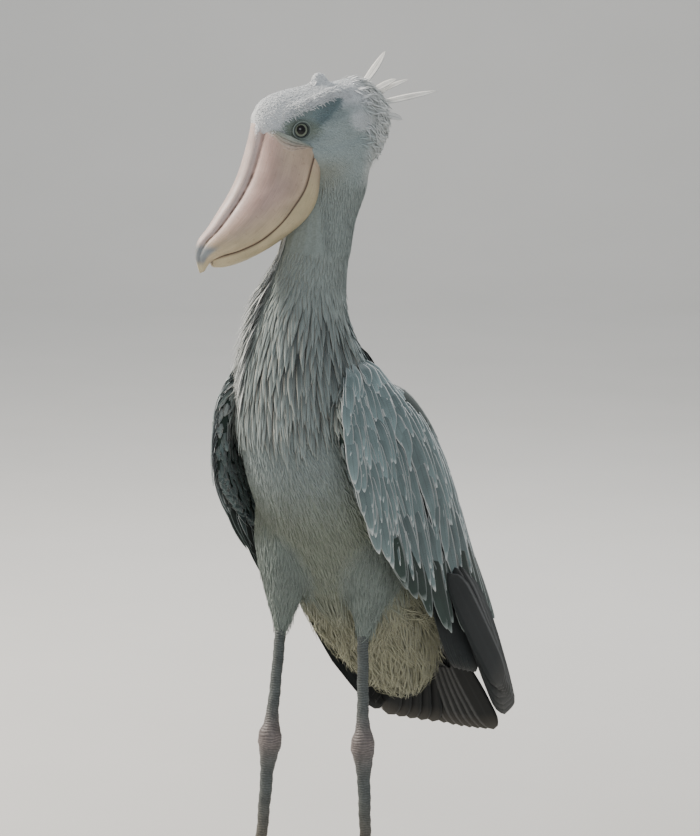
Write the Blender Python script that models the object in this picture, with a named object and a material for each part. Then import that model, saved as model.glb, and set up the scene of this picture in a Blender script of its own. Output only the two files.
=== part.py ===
"""A life-size standing shoebill, as a still museum-style model.

Metres, +Z up, the bird faces -Y with its left side on +X. The floor is z = 0.
Body, neck and wings are laid out on two smooth surfaces ("forms"), each given by a
few cross-sections. Feathers are closed blades that follow those surfaces.
"""

import math
import random

import bmesh
import bpy
from mathutils import Matrix, Vector

# The gap that neighbouring pieces keep, and how far a neighbour is grown to cut it.
GAP = 0.0003
CLEARANCE = 0.0006
# The share of its triangles that each of these keeps.
HEAD_SHARE = 0.25
WING_SHARE = 0.70
TORSO_SHARE = 0.80

# Head: where its middle sits, how far it is turned to the bird's right.
HEAD_PLACE = Vector((-0.017, -0.048, 1.145))
HEAD_TURN = math.radians(32)
HEAD_FRONT = Vector((-math.sin(HEAD_TURN), -math.cos(HEAD_TURN), 0))
HEAD_LEFT = Vector((math.cos(HEAD_TURN), -math.sin(HEAD_TURN), 0))
HEAD_UP = Vector((0, 0, 1))
NECK_TOP = 1.046

EYE_RADIUS = 0.0125
EYE_FORWARD = 0.006
EYE_ASIDE = 0.0335
EYE_RISE = -0.005
SOCKET_RADIUS = 0.0340
SOCKET_ASIDE = 0.0720
SOCKET_BLEND = 0.008

# Body sections from the nape to the vent: y, z, half width, belly depth, back depth.
BODY_ROWS = (
    (0.010, 1.090, 0.040, 0.040, 0.050),
    (0.004, 1.030, 0.046, 0.047, 0.054),
    (-0.016, 0.965, 0.050, 0.051, 0.052),
    (-0.034, 0.910, 0.056, 0.060, 0.058),
    (-0.044, 0.860, 0.070, 0.074, 0.064),
    (-0.040, 0.810, 0.088, 0.094, 0.074),
    (-0.020, 0.750, 0.104, 0.121, 0.088),
    (0.012, 0.685, 0.117, 0.127, 0.102),
    (0.050, 0.615, 0.121, 0.122, 0.110),
    (0.092, 0.545, 0.118, 0.118, 0.106),
    (0.134, 0.475, 0.108, 0.112, 0.100),
    (0.178, 0.410, 0.090, 0.098, 0.080),
    (0.222, 0.350, 0.066, 0.076, 0.056),
    (0.262, 0.298, 0.036, 0.044, 0.030),
)
BODY_SQUARENESS = 2.3
NECK_END = 3.5
BODY_END = 12.6

# The shell on which the folded wings lie, shoulder to wing tip, in the same terms.
WING_ROWS = (
    (-0.042, 0.826, 0.082, 0.096, 0.050),
    (-0.028, 0.756, 0.117, 0.134, 0.080),
    (0.004, 0.690, 0.139, 0.154, 0.106),
    (0.044, 0.620, 0.147, 0.160, 0.114),
    (0.086, 0.548, 0.148, 0.150, 0.114),
    (0.133, 0.478, 0.145, 0.138, 0.106),
    (0.186, 0.412, 0.141, 0.120, 0.098),
    (0.240, 0.350, 0.137, 0.100, 0.080),
    (0.294, 0.294, 0.130, 0.080, 0.052),
    (0.346, 0.242, 0.122, 0.060, 0.030),
)
WING_SQUARENESS = 3.2
# The flesh of each folded wing, under its feathers: place along the shell, front edge
# and rear edge in degrees from the belly, thickness. The left wing droops, the right
# one is folded closer.
LEFT_EDGES = (
    (0.42, 86, 98, 0.014),
    (0.8, 64, 124, 0.020),
    (1.2, 55, 136, 0.018),
    (2.0, 51, 148, 0.013),
    (2.8, 54, 150, 0.012),
    (3.6, 62, 148, 0.011),
    (4.4, 74, 142, 0.010),
    (5.2, 86, 132, 0.008),
    (5.8, 95, 112, 0.005),
)
RIGHT_EDGES = (
    (0.42, 86, 98, 0.014),
    (0.8, 64, 124, 0.020),
    (1.2, 56, 136, 0.018),
    (2.0, 55, 148, 0.013),
    (2.8, 68, 150, 0.012),
    (3.6, 80, 148, 0.011),
    (4.4, 88, 142, 0.010),
    (5.2, 93, 132, 0.008),
    (5.8, 97, 112, 0.005),
)
WING_REAR = 150
# Tiers of wing feathers, from the shoulder down: name, count, root places and tip places
# at the front, middle and rear edge (place along, degrees), width, tip height, thickness.
WING_TIERS = (
    ("upper", 5, ((0.72, 72), (0.75, 92), (0.85, 114)), ((1.30, 66), (1.60, 90), (1.60, 116)),
     0.032, 0.0052, 0.0011),
    ("lesser", 7, ((1.00, 64), (1.15, 92), (1.30, 124)), ((1.70, 55), (2.30, 88), (2.40, 126)),
     0.034, 0.0055, 0.0011),
    ("median", 8, ((1.35, 61), (2.00, 92), (2.40, 132)), ((2.30, 53), (3.50, 87), (3.80, 132)),
     0.034, 0.0058, 0.0011),
    ("greater", 9, ((1.90, 61), (3.00, 90), (3.60, 136)), ((3.05, 54), (4.75, 84), (5.40, 134)),
     0.035, 0.0062, 0.0012),
    ("secondary", 8, ((2.55, 63), (3.80, 88), (4.50, 132)), ((3.75, 58), (5.45, 79), (6.50, 120)),
     0.042, 0.0064, 0.0013),
)
# Shoulder feathers that lie over the wing's upper edge, in the same terms.
SHOULDER_TIER = (
    "shoulder", 3, ((0.80, 118), (0.85, 127), (1.05, 138)), ((2.20, 120), (2.70, 130), (2.90, 144)),
    0.042, 0.0080, 0.0013,
)
# Primaries: root and tip of the first and of the last, width, and the height of one on another.
PRIMARY_COUNT = 6
PRIMARY_ROOTS = ((4.55, 88), (5.30, 103))
PRIMARY_TIPS = ((7.70, 88), (8.65, 91))
PRIMARY_WIDTH = 0.060
PRIMARY_STEP = 0.0019

# Heights between which the left wing's tip is held out from the body, and how far.
SPREAD_START = 0.500
SPREAD_END = 0.320
SPREAD_ASIDE = 0.019
SPREAD_BACK = 0.008

# Where the right wing's tip is drawn in toward the tail and lower.
TUCK_START = 0.56
TUCK_END = 0.24
TUCK_ASIDE = 0.24
TUCK_DROP = 0.022

# Tail: root and tip of the middle feathers, their fan and how they are stacked.
TAIL_ROOT = Vector((0, 0.290, 0.372))
TAIL_TIP = Vector((-0.004, 0.362, 0.209))
TAIL_FEATHERS = 12
TAIL_FAN = math.radians(3.3)
TAIL_WIDTH = 0.044
TAIL_SPREAD = 0.0088
TAIL_STEP = 0.0019
TAIL_CORE = (0.110, 0.104, 0.027)
TAIL_BASE = 0.050

# How far along a feather each of its sections lies, and its share of the full width;
# then the thickness of its edges, how far its root is sunk, and how high it stands by
# a quarter of its length.
LANCE = ((0.0, 0.25), (0.38, 0.95), (0.78, 0.84))
ROUND = ((0.0, 0.30), (0.28, 0.92), (0.66, 1.00), (0.90, 0.74))
EDGE = 0.0006
SINK = 0.003
STANDING = 0.0020
RISE_BY = 0.25

# Long breast feathers: count, root and tip place along the body, how far round, width.
BREAST_TIERS = (
    (9, 4.20, 5.95, 50, 0.0200),
    (11, 5.05, 6.85, 47, 0.0200),
)
MANTLE_TIERS = (
    (4, 4.60, 6.30, 26, 0.036),
    (4, 5.90, 7.70, 26, 0.040),
    (4, 7.30, 9.10, 26, 0.040),
)
VENT_TIERS = (
    (6, 10.50, 11.90, 60, 0.028),
    (6, 11.40, 12.80, 50, 0.026),
)

# Legs: ankle and heel of each side, then heights and radii that both share.
ANKLE_LEFT = Vector((0.065, 0.009, 0.254))
ANKLE_RIGHT = Vector((-0.070, -0.030, 0.255))
HEEL_LEFT = Vector((0.070, 0.014, 0.0))
HEEL_RIGHT = Vector((-0.089, -0.040, 0))
THIGH_TOP = 0.600
THIGH_END = 0.404
KNEE_LEFT = Vector((0.061, 0.015, THIGH_END))
KNEE_RIGHT = Vector((-0.068, -0.004, THIGH_END))
SHANK_RADIUS = 0.0084
TARSUS_RADIUS = 0.0083
TOE_RADIUS = 0.0085
FOOT_HEIGHT = 0.030


def spline(rows, u):
    """Values at place u on a smooth curve through the rows, one row per unit."""
    last = len(rows) - 1
    first = min(max(int(math.floor(u)), 0), last - 1)
    t = u - first
    picks = [rows[min(max(first + k, 0), last)] for k in (-1, 0, 1, 2)]
    values = []
    for a, b, c, d in zip(*picks):
        bend = 2 * a - 5 * b + 4 * c - d
        twist = 3 * (b - c) + d - a
        values.append(b + 0.5 * t * (c - a + t * (bend + t * twist)))
    return values


def between(rows, place):
    """Values at a place on straight lines between rows whose first value is the place."""
    for low, high in zip(rows, rows[1:]):
        if place <= high[0]:
            break
    share = (place - low[0]) / (high[0] - low[0])
    share = min(max(share, 0), 1)
    return [a + (b - a) * share for a, b in zip(low[1:], high[1:])]


def power(value, exponent):
    return math.copysign(abs(value) ** exponent, value)


class Form:
    """A long rounded surface; u runs along its rows, theta round it from the belly."""

    def __init__(self, rows, squareness):
        self.rows = rows
        self.exponent = 2 / squareness

    def axis(self, u):
        """The middle of the section and the two directions across the length."""
        step = 0.02
        y, z = spline(self.rows, u)[:2]
        ahead = spline(self.rows, u + step)
        back = spline(self.rows, u - step)
        along = Vector((0, ahead[0] - back[0], ahead[1] - back[1])).normalized()
        return Vector((0, y, z)), along, Vector((0, along.z, -along.y))

    def point(self, u, theta, out=0.0):
        """A point at an angle in radians, out above the surface."""
        wide, belly, back = spline(self.rows, u)[2:]
        centre, along, front = self.axis(u)
        deep = belly if math.cos(theta) > 0 else back
        across = wide * power(math.sin(theta), self.exponent)
        depth = deep * power(math.cos(theta), self.exponent)
        normal = Vector((1, 0, 0)) * (math.sin(theta) / wide) + front * (math.cos(theta) / deep)
        place = centre + Vector((across, 0, 0)) + front * depth
        return place + normal.normalized() * out

    def moved(self, u, theta, step):
        """The place on the surface that a short step in space leads to."""
        small = 0.02
        here = self.point(u, theta)
        along = (self.point(u + small, theta) - here) / small
        around = (self.point(u, theta + small) - here) / small
        a, b, c = along.dot(along), along.dot(around), around.dot(around)
        p, q = along.dot(step), around.dot(step)
        size = a * c - b * b
        return u + (c * p - b * q) / size, theta + (a * q - b * p) / size


BODY = Form(BODY_ROWS, BODY_SQUARENESS)
WING = Form(WING_ROWS, WING_SQUARENESS)


def material(name, colour, roughness=0.7, metallic=0.0):
    """A plain surface of one colour, given as red, green and blue from 0 to 1."""
    found = bpy.data.materials.new(name)
    found.use_nodes = True
    shader = found.node_tree.nodes["Principled BSDF"]
    shader.inputs["Base Color"].default_value = (*colour, 1)
    shader.inputs["Roughness"].default_value = roughness
    shader.inputs["Metallic"].default_value = metallic
    found.diffuse_color = (*colour, 1)
    return found


def solid(name, points, faces):
    """An object of these corners and faces, its faces turned outwards."""
    mesh = bpy.data.meshes.new(name)
    mesh.from_pydata([tuple(p) for p in points], [], faces)
    work = bmesh.new()
    work.from_mesh(mesh)
    bmesh.ops.recalc_face_normals(work, faces=work.faces)
    bmesh.ops.triangulate(work, faces=work.faces)
    work.to_mesh(mesh)
    work.free()
    thing = bpy.data.objects.new(name, mesh)
    bpy.context.scene.collection.objects.link(thing)
    return thing


def loft(name, rings):
    """A closed solid through rings of equal count, its ends closed by a middle point."""
    count = len(rings[0])
    points = [p for ring in rings for p in ring]
    faces = []
    for row in range(len(rings) - 1):
        for k in range(count):
            a = row * count + k
            b = row * count + (k + 1) % count
            faces.append((a, b, b + count, a + count))
    for start, ring in ((0, rings[0]), (len(points) - count, rings[-1])):
        middle = sum(ring, Vector()) / count
        points.append(middle)
        for k in range(count):
            faces.append((start + k, start + (k + 1) % count, len(points) - 1))
    return solid(name, points, faces)


def sheet(name, outer, inner):
    """A closed slab between two grids of points, split alike on both faces."""
    rows, columns = len(outer), len(outer[0])
    points = [p for row in outer for p in row] + [p for row in inner for p in row]
    under = rows * columns
    faces = []
    for i in range(rows - 1):
        for j in range(columns - 1):
            a = i * columns + j
            b, c, d = a + 1, a + columns + 1, a + columns
            for corners in ((a, b, c), (a, c, d)):
                faces.append(corners)
                faces.append(tuple(under + k for k in reversed(corners)))
    rim = [(0, j) for j in range(columns)] + [(i, columns - 1) for i in range(1, rows)]
    rim += [(rows - 1, j) for j in range(columns - 2, -1, -1)] + [(i, 0) for i in range(rows - 2, 0, -1)]
    for (i, j), (k, m) in zip(rim, rim[1:] + rim[:1]):
        a, b = i * columns + j, k * columns + m
        faces.append((a, b, b + under, a + under))
    return solid(name, points, faces)


def circle(centre, normal, radius, count, aside=Vector((1, 0, 0))):
    """A ring round a normal, its first corner toward one side."""
    wide = (aside - normal * aside.dot(normal)).normalized()
    deep = normal.cross(wide)
    turns = [2 * math.pi * k / count for k in range(count)]
    return [centre + (wide * math.cos(t) + deep * math.sin(t)) * radius for t in turns]


def limb(name, stations, count, aside=Vector((1, 0, 0)), level=()):
    """A round bar through (centre, radius) stations; the rings named in level lie flat."""
    rings = []
    last = len(stations) - 1
    for k, (centre, radius) in enumerate(stations):
        along = (stations[min(k + 1, last)][0] - stations[max(k - 1, 0)][0]).normalized()
        if k in level or k - last - 1 in level:
            along = Vector((0, 0, math.copysign(1, along.z)))
        rings.append(circle(centre, along, radius, count, aside))
    return loft(name, rings)


def blade(name, sections, tip):
    """A feather vane as a closed blade; each section is left, middle, right, normal, thickness."""
    points = []
    for left, middle, right, normal, thick in sections:
        edge, ridge = normal * (EDGE / 2), normal * (thick / 2)
        points += [left + edge, middle + ridge, right + edge]
        points += [right - edge, middle - ridge, left - edge]
    points.append(tip)
    faces = [(0, 1, 4), (0, 4, 5), (1, 2, 3), (1, 3, 4)]
    for row in range(0, 6 * (len(sections) - 1), 6):
        for k in range(6):
            a, b = row + k, row + (k + 1) % 6
            if k < 3:
                faces += [(a, b, b + 6), (a, b + 6, a + 6)]
            else:
                faces += [(a, b, a + 6), (b, b + 6, a + 6)]
    last = 6 * (len(sections) - 1)
    faces += [(last + k, last + (k + 1) % 6, len(points) - 1) for k in range(6)]
    return solid(name, points, faces)


def lifted(share, lift, over=0.0):
    """Height over the surface along a feather: sunk root, then rising to the tip."""
    if share < RISE_BY:
        return -SINK + (SINK + STANDING + over) * share / RISE_BY
    return STANDING + over + (lift - STANDING) * (share - RISE_BY) / (1 - RISE_BY)


def vane(name, form, root, tip, width, lift, thick, shape=LANCE, roll=0.0014, over=0.0, place=None):
    """A feather lying on a form from its root to its tip, one edge over its neighbour."""
    place = place or (lambda point: point)
    sections = []
    for share, wide in shape:
        u = root[0] + (tip[0] - root[0]) * share
        theta = math.radians(root[1] + (tip[1] - root[1]) * share)
        ahead = form.point(u + (tip[0] - root[0]) * 0.05, theta + math.radians(tip[1] - root[1]) * 0.05)
        along = ahead - form.point(u, theta)
        height = lifted(share, lift, over)
        middle = form.point(u, theta, height)
        normal = (middle - form.point(u, theta, height - 0.01)).normalized()
        across = normal.cross(along).normalized() * (width * wide / 2)
        tilt = roll * wide
        left = form.point(*form.moved(u, theta, across), height + tilt)
        right = form.point(*form.moved(u, theta, -across), height - tilt)
        corners = [place(p) for p in (left, middle, right)]
        outward = (place(middle + normal * 0.01) - corners[1]).normalized()
        sections.append((*corners, outward, thick))
    end = form.point(tip[0], math.radians(tip[1]), lift + over)
    return blade(name, sections, place(end))


def evaluated(thing):
    """Replace an object's mesh by what its modifiers make of it, and drop them."""
    graph = bpy.context.evaluated_depsgraph_get()
    mesh = bpy.data.meshes.new_from_object(thing.evaluated_get(graph))
    thing.modifiers.clear()
    thing.data = mesh


def discard(things):
    for thing in things:
        bpy.data.objects.remove(thing)


def largest(thing):
    """Keep only the largest closed surface of the mesh."""
    work = bmesh.new()
    work.from_mesh(thing.data)
    work.faces.ensure_lookup_table()
    seen = set()
    shells = []
    for face in work.faces:
        if face in seen:
            continue
        shell, edge = [], [face]
        seen.add(face)
        while edge:
            here = edge.pop()
            shell.append(here)
            for side in here.edges:
                for other in side.link_faces:
                    if other not in seen:
                        seen.add(other)
                        edge.append(other)
        shells.append(shell)
    size = [sum(f.calc_center_median().dot(f.normal) * f.calc_area() for f in shell) for shell in shells]
    keep = shells[size.index(max(size))]
    drop = [f for shell in shells if shell is not keep for f in shell]
    bmesh.ops.delete(work, geom=drop, context="FACES")
    loose = [v for v in work.verts if not v.link_faces]
    bmesh.ops.delete(work, geom=loose, context="VERTS")
    work.to_mesh(thing.data)
    work.free()


def fuse(base, pieces, solver="MANIFOLD"):
    """Join closed pieces onto a base, as one closed surface."""
    if not pieces:
        return base
    group = bpy.data.collections.new(base.name + "_pieces")
    bpy.context.scene.collection.children.link(group)
    for piece in pieces:
        bpy.context.scene.collection.objects.unlink(piece)
        group.objects.link(piece)
    join = base.modifiers.new("join", "BOOLEAN")
    join.operation = "UNION"
    join.operand_type = "COLLECTION"
    join.collection = group
    join.solver = solver
    evaluated(base)
    discard(pieces)
    bpy.data.collections.remove(group)
    largest(base)
    return base


def grown(thing, by):
    """A copy of the mesh with each corner moved out along its normal."""
    mesh = thing.data.copy()
    normals = [v.normal.copy() for v in mesh.vertices]
    for corner, normal in zip(mesh.vertices, normals):
        corner.co += normal * by
    copy = bpy.data.objects.new(thing.name + "_grown", mesh)
    bpy.context.scene.collection.objects.link(copy)
    return copy


def cut(thing, tools, solver="MANIFOLD"):
    """Take the tools' shapes away from the thing, then remove the tools."""
    for tool in tools:
        carve = thing.modifiers.new("carve", "BOOLEAN")
        carve.operation = "DIFFERENCE"
        carve.object = tool
        carve.solver = solver
        evaluated(thing)
    discard(tools)
    largest(thing)


def clear_of(thing, others, by=CLEARANCE):
    cut(thing, [grown(other, by) for other in others])


def slimmed(thing, ratio):
    """Drop the corners that shape a mesh least, down to a share of its triangles."""
    slim = thing.modifiers.new("slim", "DECIMATE")
    slim.ratio = ratio
    evaluated(thing)


def halve(thing, point, normal):
    """Keep the side of a plane that its normal points away from, and close the cut."""
    work = bmesh.new()
    work.from_mesh(thing.data)
    geometry = work.verts[:] + work.edges[:] + work.faces[:]
    found = bmesh.ops.bisect_plane(
        work, geom=geometry, plane_co=point, plane_no=normal, clear_outer=True
    )
    rim = [e for e in found["geom_cut"] if isinstance(e, bmesh.types.BMEdge)]
    bmesh.ops.contextual_create(work, geom=rim)
    bmesh.ops.triangulate(work, faces=work.faces)
    work.to_mesh(thing.data)
    work.free()


def finish(thing, surface, smooth_under=50):
    """Give the piece its surface and soft shading."""
    thing.data.materials.clear()
    thing.data.materials.append(surface)
    thing.data.shade_smooth()
    thing.data.set_sharp_from_angle(angle=math.radians(smooth_under))
    return thing


def head_point(forward, aside, rise):
    """A point of the head: forward to the bill, aside to its left, and up."""
    return HEAD_PLACE + HEAD_FRONT * forward + HEAD_LEFT * aside + HEAD_UP * rise


# The head's rounded masses: middle and half sizes, forward, aside and up. Those with
# an aside place other than nought come in pairs.
HEAD_MASSES = (
    ((-0.042, 0, 0.002), (0.096, 0.052, 0.055)),
    ((0.022, 0, 0.008), (0.038, 0.030, 0.032)),
    ((-0.058, 0.020, -0.034), (0.058, 0.038, 0.046)),
    ((-0.060, 0.038, 0.000), (0.030, 0.022, 0.026)),
    ((-0.093, 0, 0.004), (0.046, 0.045, 0.059)),
    ((-0.068, 0, -0.072), (0.044, 0.036, 0.050)),
    ((0.006, 0.039, 0.020), (0.034, 0.011, 0.007)),
    ((-0.040, 0, 0.064), (0.010, 0.008, 0.009)),
)
HEAD_BLEND = 0.022
NECK_BLEND = 0.030


def ellipsoid_distance(place, middle, half):
    offset = Vector(a - b for a, b in zip(place, middle))
    near = Vector(a / b for a, b in zip(offset, half)).length
    slope = Vector(a / b ** 2 for a, b in zip(offset, half)).length
    return near * (near - 1) / max(slope, 1e-9)


def neck_distance(place):
    """Distance to the top of the neck, which the head's skin runs into."""
    world = head_point(*place)
    (y, top), (_, low) = BODY_ROWS[0][:2], BODY_ROWS[1][:2]
    y, _, wide, belly, back = spline(BODY_ROWS, (top - world.z) / (top - low))
    deep = belly if world.y < y else back
    ring = Vector((world.x / wide, (world.y - y) / deep)).length
    return max((ring - 1) * wide, world.z - top)


def blended(near, far, reach):
    """The smaller of two distances, rounded where they are within reach of each other."""
    share = max(reach - abs(near - far), 0) / reach
    return min(near, far) - share * share * reach / 4


def head_distance(forward, aside, rise):
    """Rough distance to the skin of the head, less than nought inside."""
    place = (forward, abs(aside), rise)
    distance = 1.0
    for middle, half in HEAD_MASSES:
        distance = blended(distance, ellipsoid_distance(place, middle, half), HEAD_BLEND)
    distance = blended(distance, neck_distance((forward, aside, rise)), NECK_BLEND)
    socket = Vector((EYE_FORWARD, SOCKET_ASIDE, EYE_RISE))
    hollow = (Vector(place) - socket).length - SOCKET_RADIUS
    return -blended(-distance, hollow, SOCKET_BLEND)


HEAD_MIDDLE = Vector((-0.045, 0, -0.012))


def head_skin(direction):
    """How far the skin lies from the head's middle in a direction."""
    inside, outside = 0.0, 0.18
    step = 0.004
    reach = outside
    while reach > step and head_distance(*(HEAD_MIDDLE + direction * reach)) > 0:
        reach -= step
    inside, outside = reach, reach + step
    for _ in range(8):
        middle = (inside + outside) / 2
        if head_distance(*(HEAD_MIDDLE + direction * middle)) > 0:
            outside = middle
        else:
            inside = middle
    return inside


def head_block(name, fineness):
    """The head as a ball whose corners are laid on the skin."""
    bpy.ops.mesh.primitive_ico_sphere_add(subdivisions=fineness, radius=1)
    thing = bpy.context.active_object
    thing.name = name
    for corner in thing.data.vertices:
        direction = corner.co.normalized()
        corner.co = head_point(*(HEAD_MIDDLE + direction * head_skin(direction)))
    work = bmesh.new()
    work.from_mesh(thing.data)
    bmesh.ops.recalc_face_normals(work, faces=work.faces)
    work.to_mesh(thing.data)
    work.free()
    return thing


# Crest and nape feathers: root, middle and tip on the head (forward, aside, up), width.
CREST = (
    ((-0.104, -0.004, 0.046), (-0.132, -0.008, 0.074), (-0.149, -0.010, 0.1000), 0.013),
    ((-0.116, 0.006, 0.024), (-0.166, 0.012, 0.034), (-0.219, 0.016, 0.0430), 0.012),
    ((-0.110, 0.016, 0.042), (-0.134, 0.022, 0.056), (-0.150, 0.024, 0.0620), 0.013),
    ((-0.112, -0.014, 0.034), (-0.140, -0.018, 0.042), (-0.160, -0.020, 0.0440), 0.013),
    ((-0.120, 0.018, 0.012), (-0.146, 0.024, 0.012), (-0.158, 0.028, 0.0040), 0.014),
    ((-0.120, -0.014, 0.002), (-0.146, -0.018, 0.000), (-0.157, -0.020, -0.0100), 0.014),
)
# Lid rims: half length, height to length, distance from the eye's middle, thickness.
LID_REACH = 0.0118
LID_FLATNESS = 0.88
LID_DISTANCE = 0.0139
LID_THICKNESS = 0.0020
LID_STEPS = 12


def crest_vanes():
    """The crest's two long feathers and the loose ones of the nape."""
    vanes = []
    for root, middle, tip, width in CREST:
        start, bend, end = (head_point(*p) for p in (root, middle, tip))
        sections = []
        for share, part in LANCE:
            centre = start.lerp(bend, share).lerp(bend.lerp(end, share), share)
            along = start.lerp(bend, share) - bend.lerp(end, share)
            across = along.cross(HEAD_LEFT).normalized()
            half = across * (width * part / 2)
            sections.append((centre - half, centre, centre + half, along.cross(across).normalized(), 0.0014))
        vanes.append(blade("crest", sections, end))
    return vanes


def lids():
    """The raised rim of the lids round each eye, a closed ring lying on the eyeball."""
    rims = []
    for side in (1, -1):
        centre = Vector((EYE_FORWARD, side * EYE_ASIDE, EYE_RISE))
        points = []
        for k in range(LID_STEPS):
            turn = 2 * math.pi * k / LID_STEPS
            forward, up = LID_REACH * math.cos(turn), LID_REACH * LID_FLATNESS * math.sin(turn)
            aside = side * math.sqrt(LID_DISTANCE ** 2 - forward ** 2 - up ** 2)
            place = head_point(*(centre + Vector((forward, aside, up))))
            ahead = HEAD_UP * math.cos(turn) * LID_FLATNESS - HEAD_FRONT * math.sin(turn)
            points += circle(place, ahead.normalized(), LID_THICKNESS, 5, HEAD_LEFT)
        count = len(points)
        faces = []
        for first in range(0, count, 5):
            for j in range(5):
                a, b = first + j, first + (j + 1) % 5
                faces.append((a, b, (b + 5) % count, (a + 5) % count))
        rims.append(solid("lid_rim", points, faces))
    return rims


# Bill: for each station the ridge (forward, up), the mouth line (forward, up) and half width.
UPPER_BILL = (
    ((0.062, 0.0040), (-0.016, -0.033), 0.0450),
    ((0.0693, -0.027), (-0.008, -0.053), 0.0490),
    ((0.082, -0.0655), (0.004, -0.086), 0.0520),
    ((0.097, -0.0945), (0.0210, -0.111), 0.0515),
    ((0.112, -0.1164), (0.0400, -0.135), 0.0475),
    ((0.1298, -0.1405), (0.0660, -0.157), 0.0400),
    ((0.1447, -0.158), (0.094, -0.171), 0.0305),
    ((0.150, -0.174), (0.118, -0.179), 0.0195),
    ((0.1485, -0.188), (0.131, -0.188), 0.0105),
    ((0.1435, -0.2035), (0.137, -0.2005), 0.0025),
)
UPPER_SECTION = (
    (0.0, 1.0), (0.2, 1.04), (0.45, 0.98), (0.68, 0.77), (0.82, 0.48), (0.86, 0.31),
    (0.95, 0.25), (1.0, 0.12),
)
# The lower bill: the mouth line, the keel below it and half width.
LOWER_BILL = (
    ((-0.016, -0.033), (-0.0300, -0.0520), 0.0430),
    ((-0.008, -0.053), (-0.0310, -0.079), 0.0470),
    ((0.004, -0.086), (-0.0260, -0.109), 0.0495),
    ((0.0210, -0.111), (-0.010, -0.133), 0.0490),
    ((0.0400, -0.135), (0.016, -0.153), 0.0450),
    ((0.0660, -0.157), (0.046, -0.172), 0.0380),
    ((0.094, -0.171), (0.080, -0.188), 0.0285),
    ((0.118, -0.179), (0.107, -0.1955), 0.0180),
    ((0.128, -0.184), (0.124, -0.1955), 0.0085),
)
LOWER_SECTION = ((0.0, 1.0), (0.4, 0.95), (0.75, 0.75), (1.0, 0.45), (1.02, 0.0))
MOUTH_GAP = 0.0012


def bill_ring(start, end, wide, section, shift):
    """A closed section from the mouth line to the ridge or keel, and back on the far side."""
    rise = Vector((end[0] - start[0], 0, end[1] - start[1]))
    away = rise.normalized() * shift
    side = [(Vector((start[0], 0, start[1])) + away + rise * h, wide * w) for h, w in section]
    left = [head_point(p.x, w, p.z) for p, w in side]
    right = [head_point(p.x, -w, p.z) for p, w in reversed(side) if w > 0]
    return left + right


def upper_bill():
    rings = [bill_ring(mouth, ridge, wide, UPPER_SECTION, MOUTH_GAP / 2) for ridge, mouth, wide in UPPER_BILL]
    thing = loft("bill_upper", rings)
    for side in (1, -1):
        slit = limb("nostril_slit", [
            (head_point(0.0535, side * 0.0150, -0.008), 0.0010),
            (head_point(0.0570, side * 0.0165, -0.020), 0.0026),
            (head_point(0.0600, side * 0.0172, -0.034), 0.0010),
        ], 8)
        cut(thing, [slit])
    return thing


def lower_bill():
    rings = [bill_ring(mouth, keel, wide, LOWER_SECTION, MOUTH_GAP / 2) for mouth, keel, wide in LOWER_BILL]
    return loft("bill_lower", rings)


def eye(name, side):
    bpy.ops.mesh.primitive_uv_sphere_add(segments=16, ring_count=8, radius=EYE_RADIUS)
    thing = bpy.context.active_object
    thing.name = name
    thing.data.transform(Matrix.Translation(head_point(EYE_FORWARD, side * EYE_ASIDE, EYE_RISE)))
    return thing


def body_rings(form, start, end, count, around):
    rings = []
    for k in range(count):
        u = start + (end - start) * k / (count - 1)
        rings.append([form.point(u, 2 * math.pi * j / around) for j in range(around)])
    return rings


def neck_solid():
    thing = loft("neck", body_rings(BODY, 0.2, NECK_END - 0.003, 8, 24))
    halve(thing, Vector((0, 0, NECK_TOP - GAP / 2)), Vector((0, 0, 1)))
    return thing


def torso_core():
    rings = body_rings(BODY, NECK_END + 0.003, BODY_END, 16, 24)
    return loft("torso", rings)


def torso_vanes(chance):
    """The long breast feathers, the feathers of the back and the tufts under the tail."""
    vanes = []
    groups = (
        ("plume", BREAST_TIERS, 0, 0.0055, LANCE),
        ("mantle", MANTLE_TIERS, 180, 0.0060, ROUND),
        ("vent_tuft", VENT_TIERS, 0, 0.0090, LANCE),
    )
    for name, tiers, middle, lift, shape in groups:
        for count, start, end, spread, width in tiers:
            for k in range(count):
                angle = middle + spread * (2 * k / (count - 1) - 1)
                tip = (end + chance.uniform(-0.12, 0.12), angle + chance.uniform(-2.5, 2.5))
                vanes.append(vane(name, BODY, (start, angle), tip, width, lift, 0.0014, shape))
    return vanes


def wing_core(name, edges, side):
    """The flesh of a folded wing, a slab that follows the shell."""
    outer, inner = [], []
    rows, columns = 9, 7
    for i in range(rows):
        u = edges[0][0] + (edges[-1][0] - edges[0][0]) * i / (rows - 1)
        front, rear, thick = between(edges, u)
        angles = [math.radians(front + (rear - front) * j / (columns - 1)) for j in range(columns)]
        outer.append([on_side(WING.point(u, a), side) for a in angles])
        inner.append([on_side(WING.point(u, a, -thick), side) for a in angles])
    return sheet(name, outer, inner)


def tightened(place, side):
    """A place of the drooping left wing, moved with the front edge if the wing is the right one."""
    if side > 0:
        return place
    u, angle = place
    front = between(LEFT_EDGES, u)[0]
    shift = between(RIGHT_EDGES, u)[0] - front
    share = min(max((WING_REAR - angle) / (WING_REAR - front), 0), 1)
    return u, angle + shift * share


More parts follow.
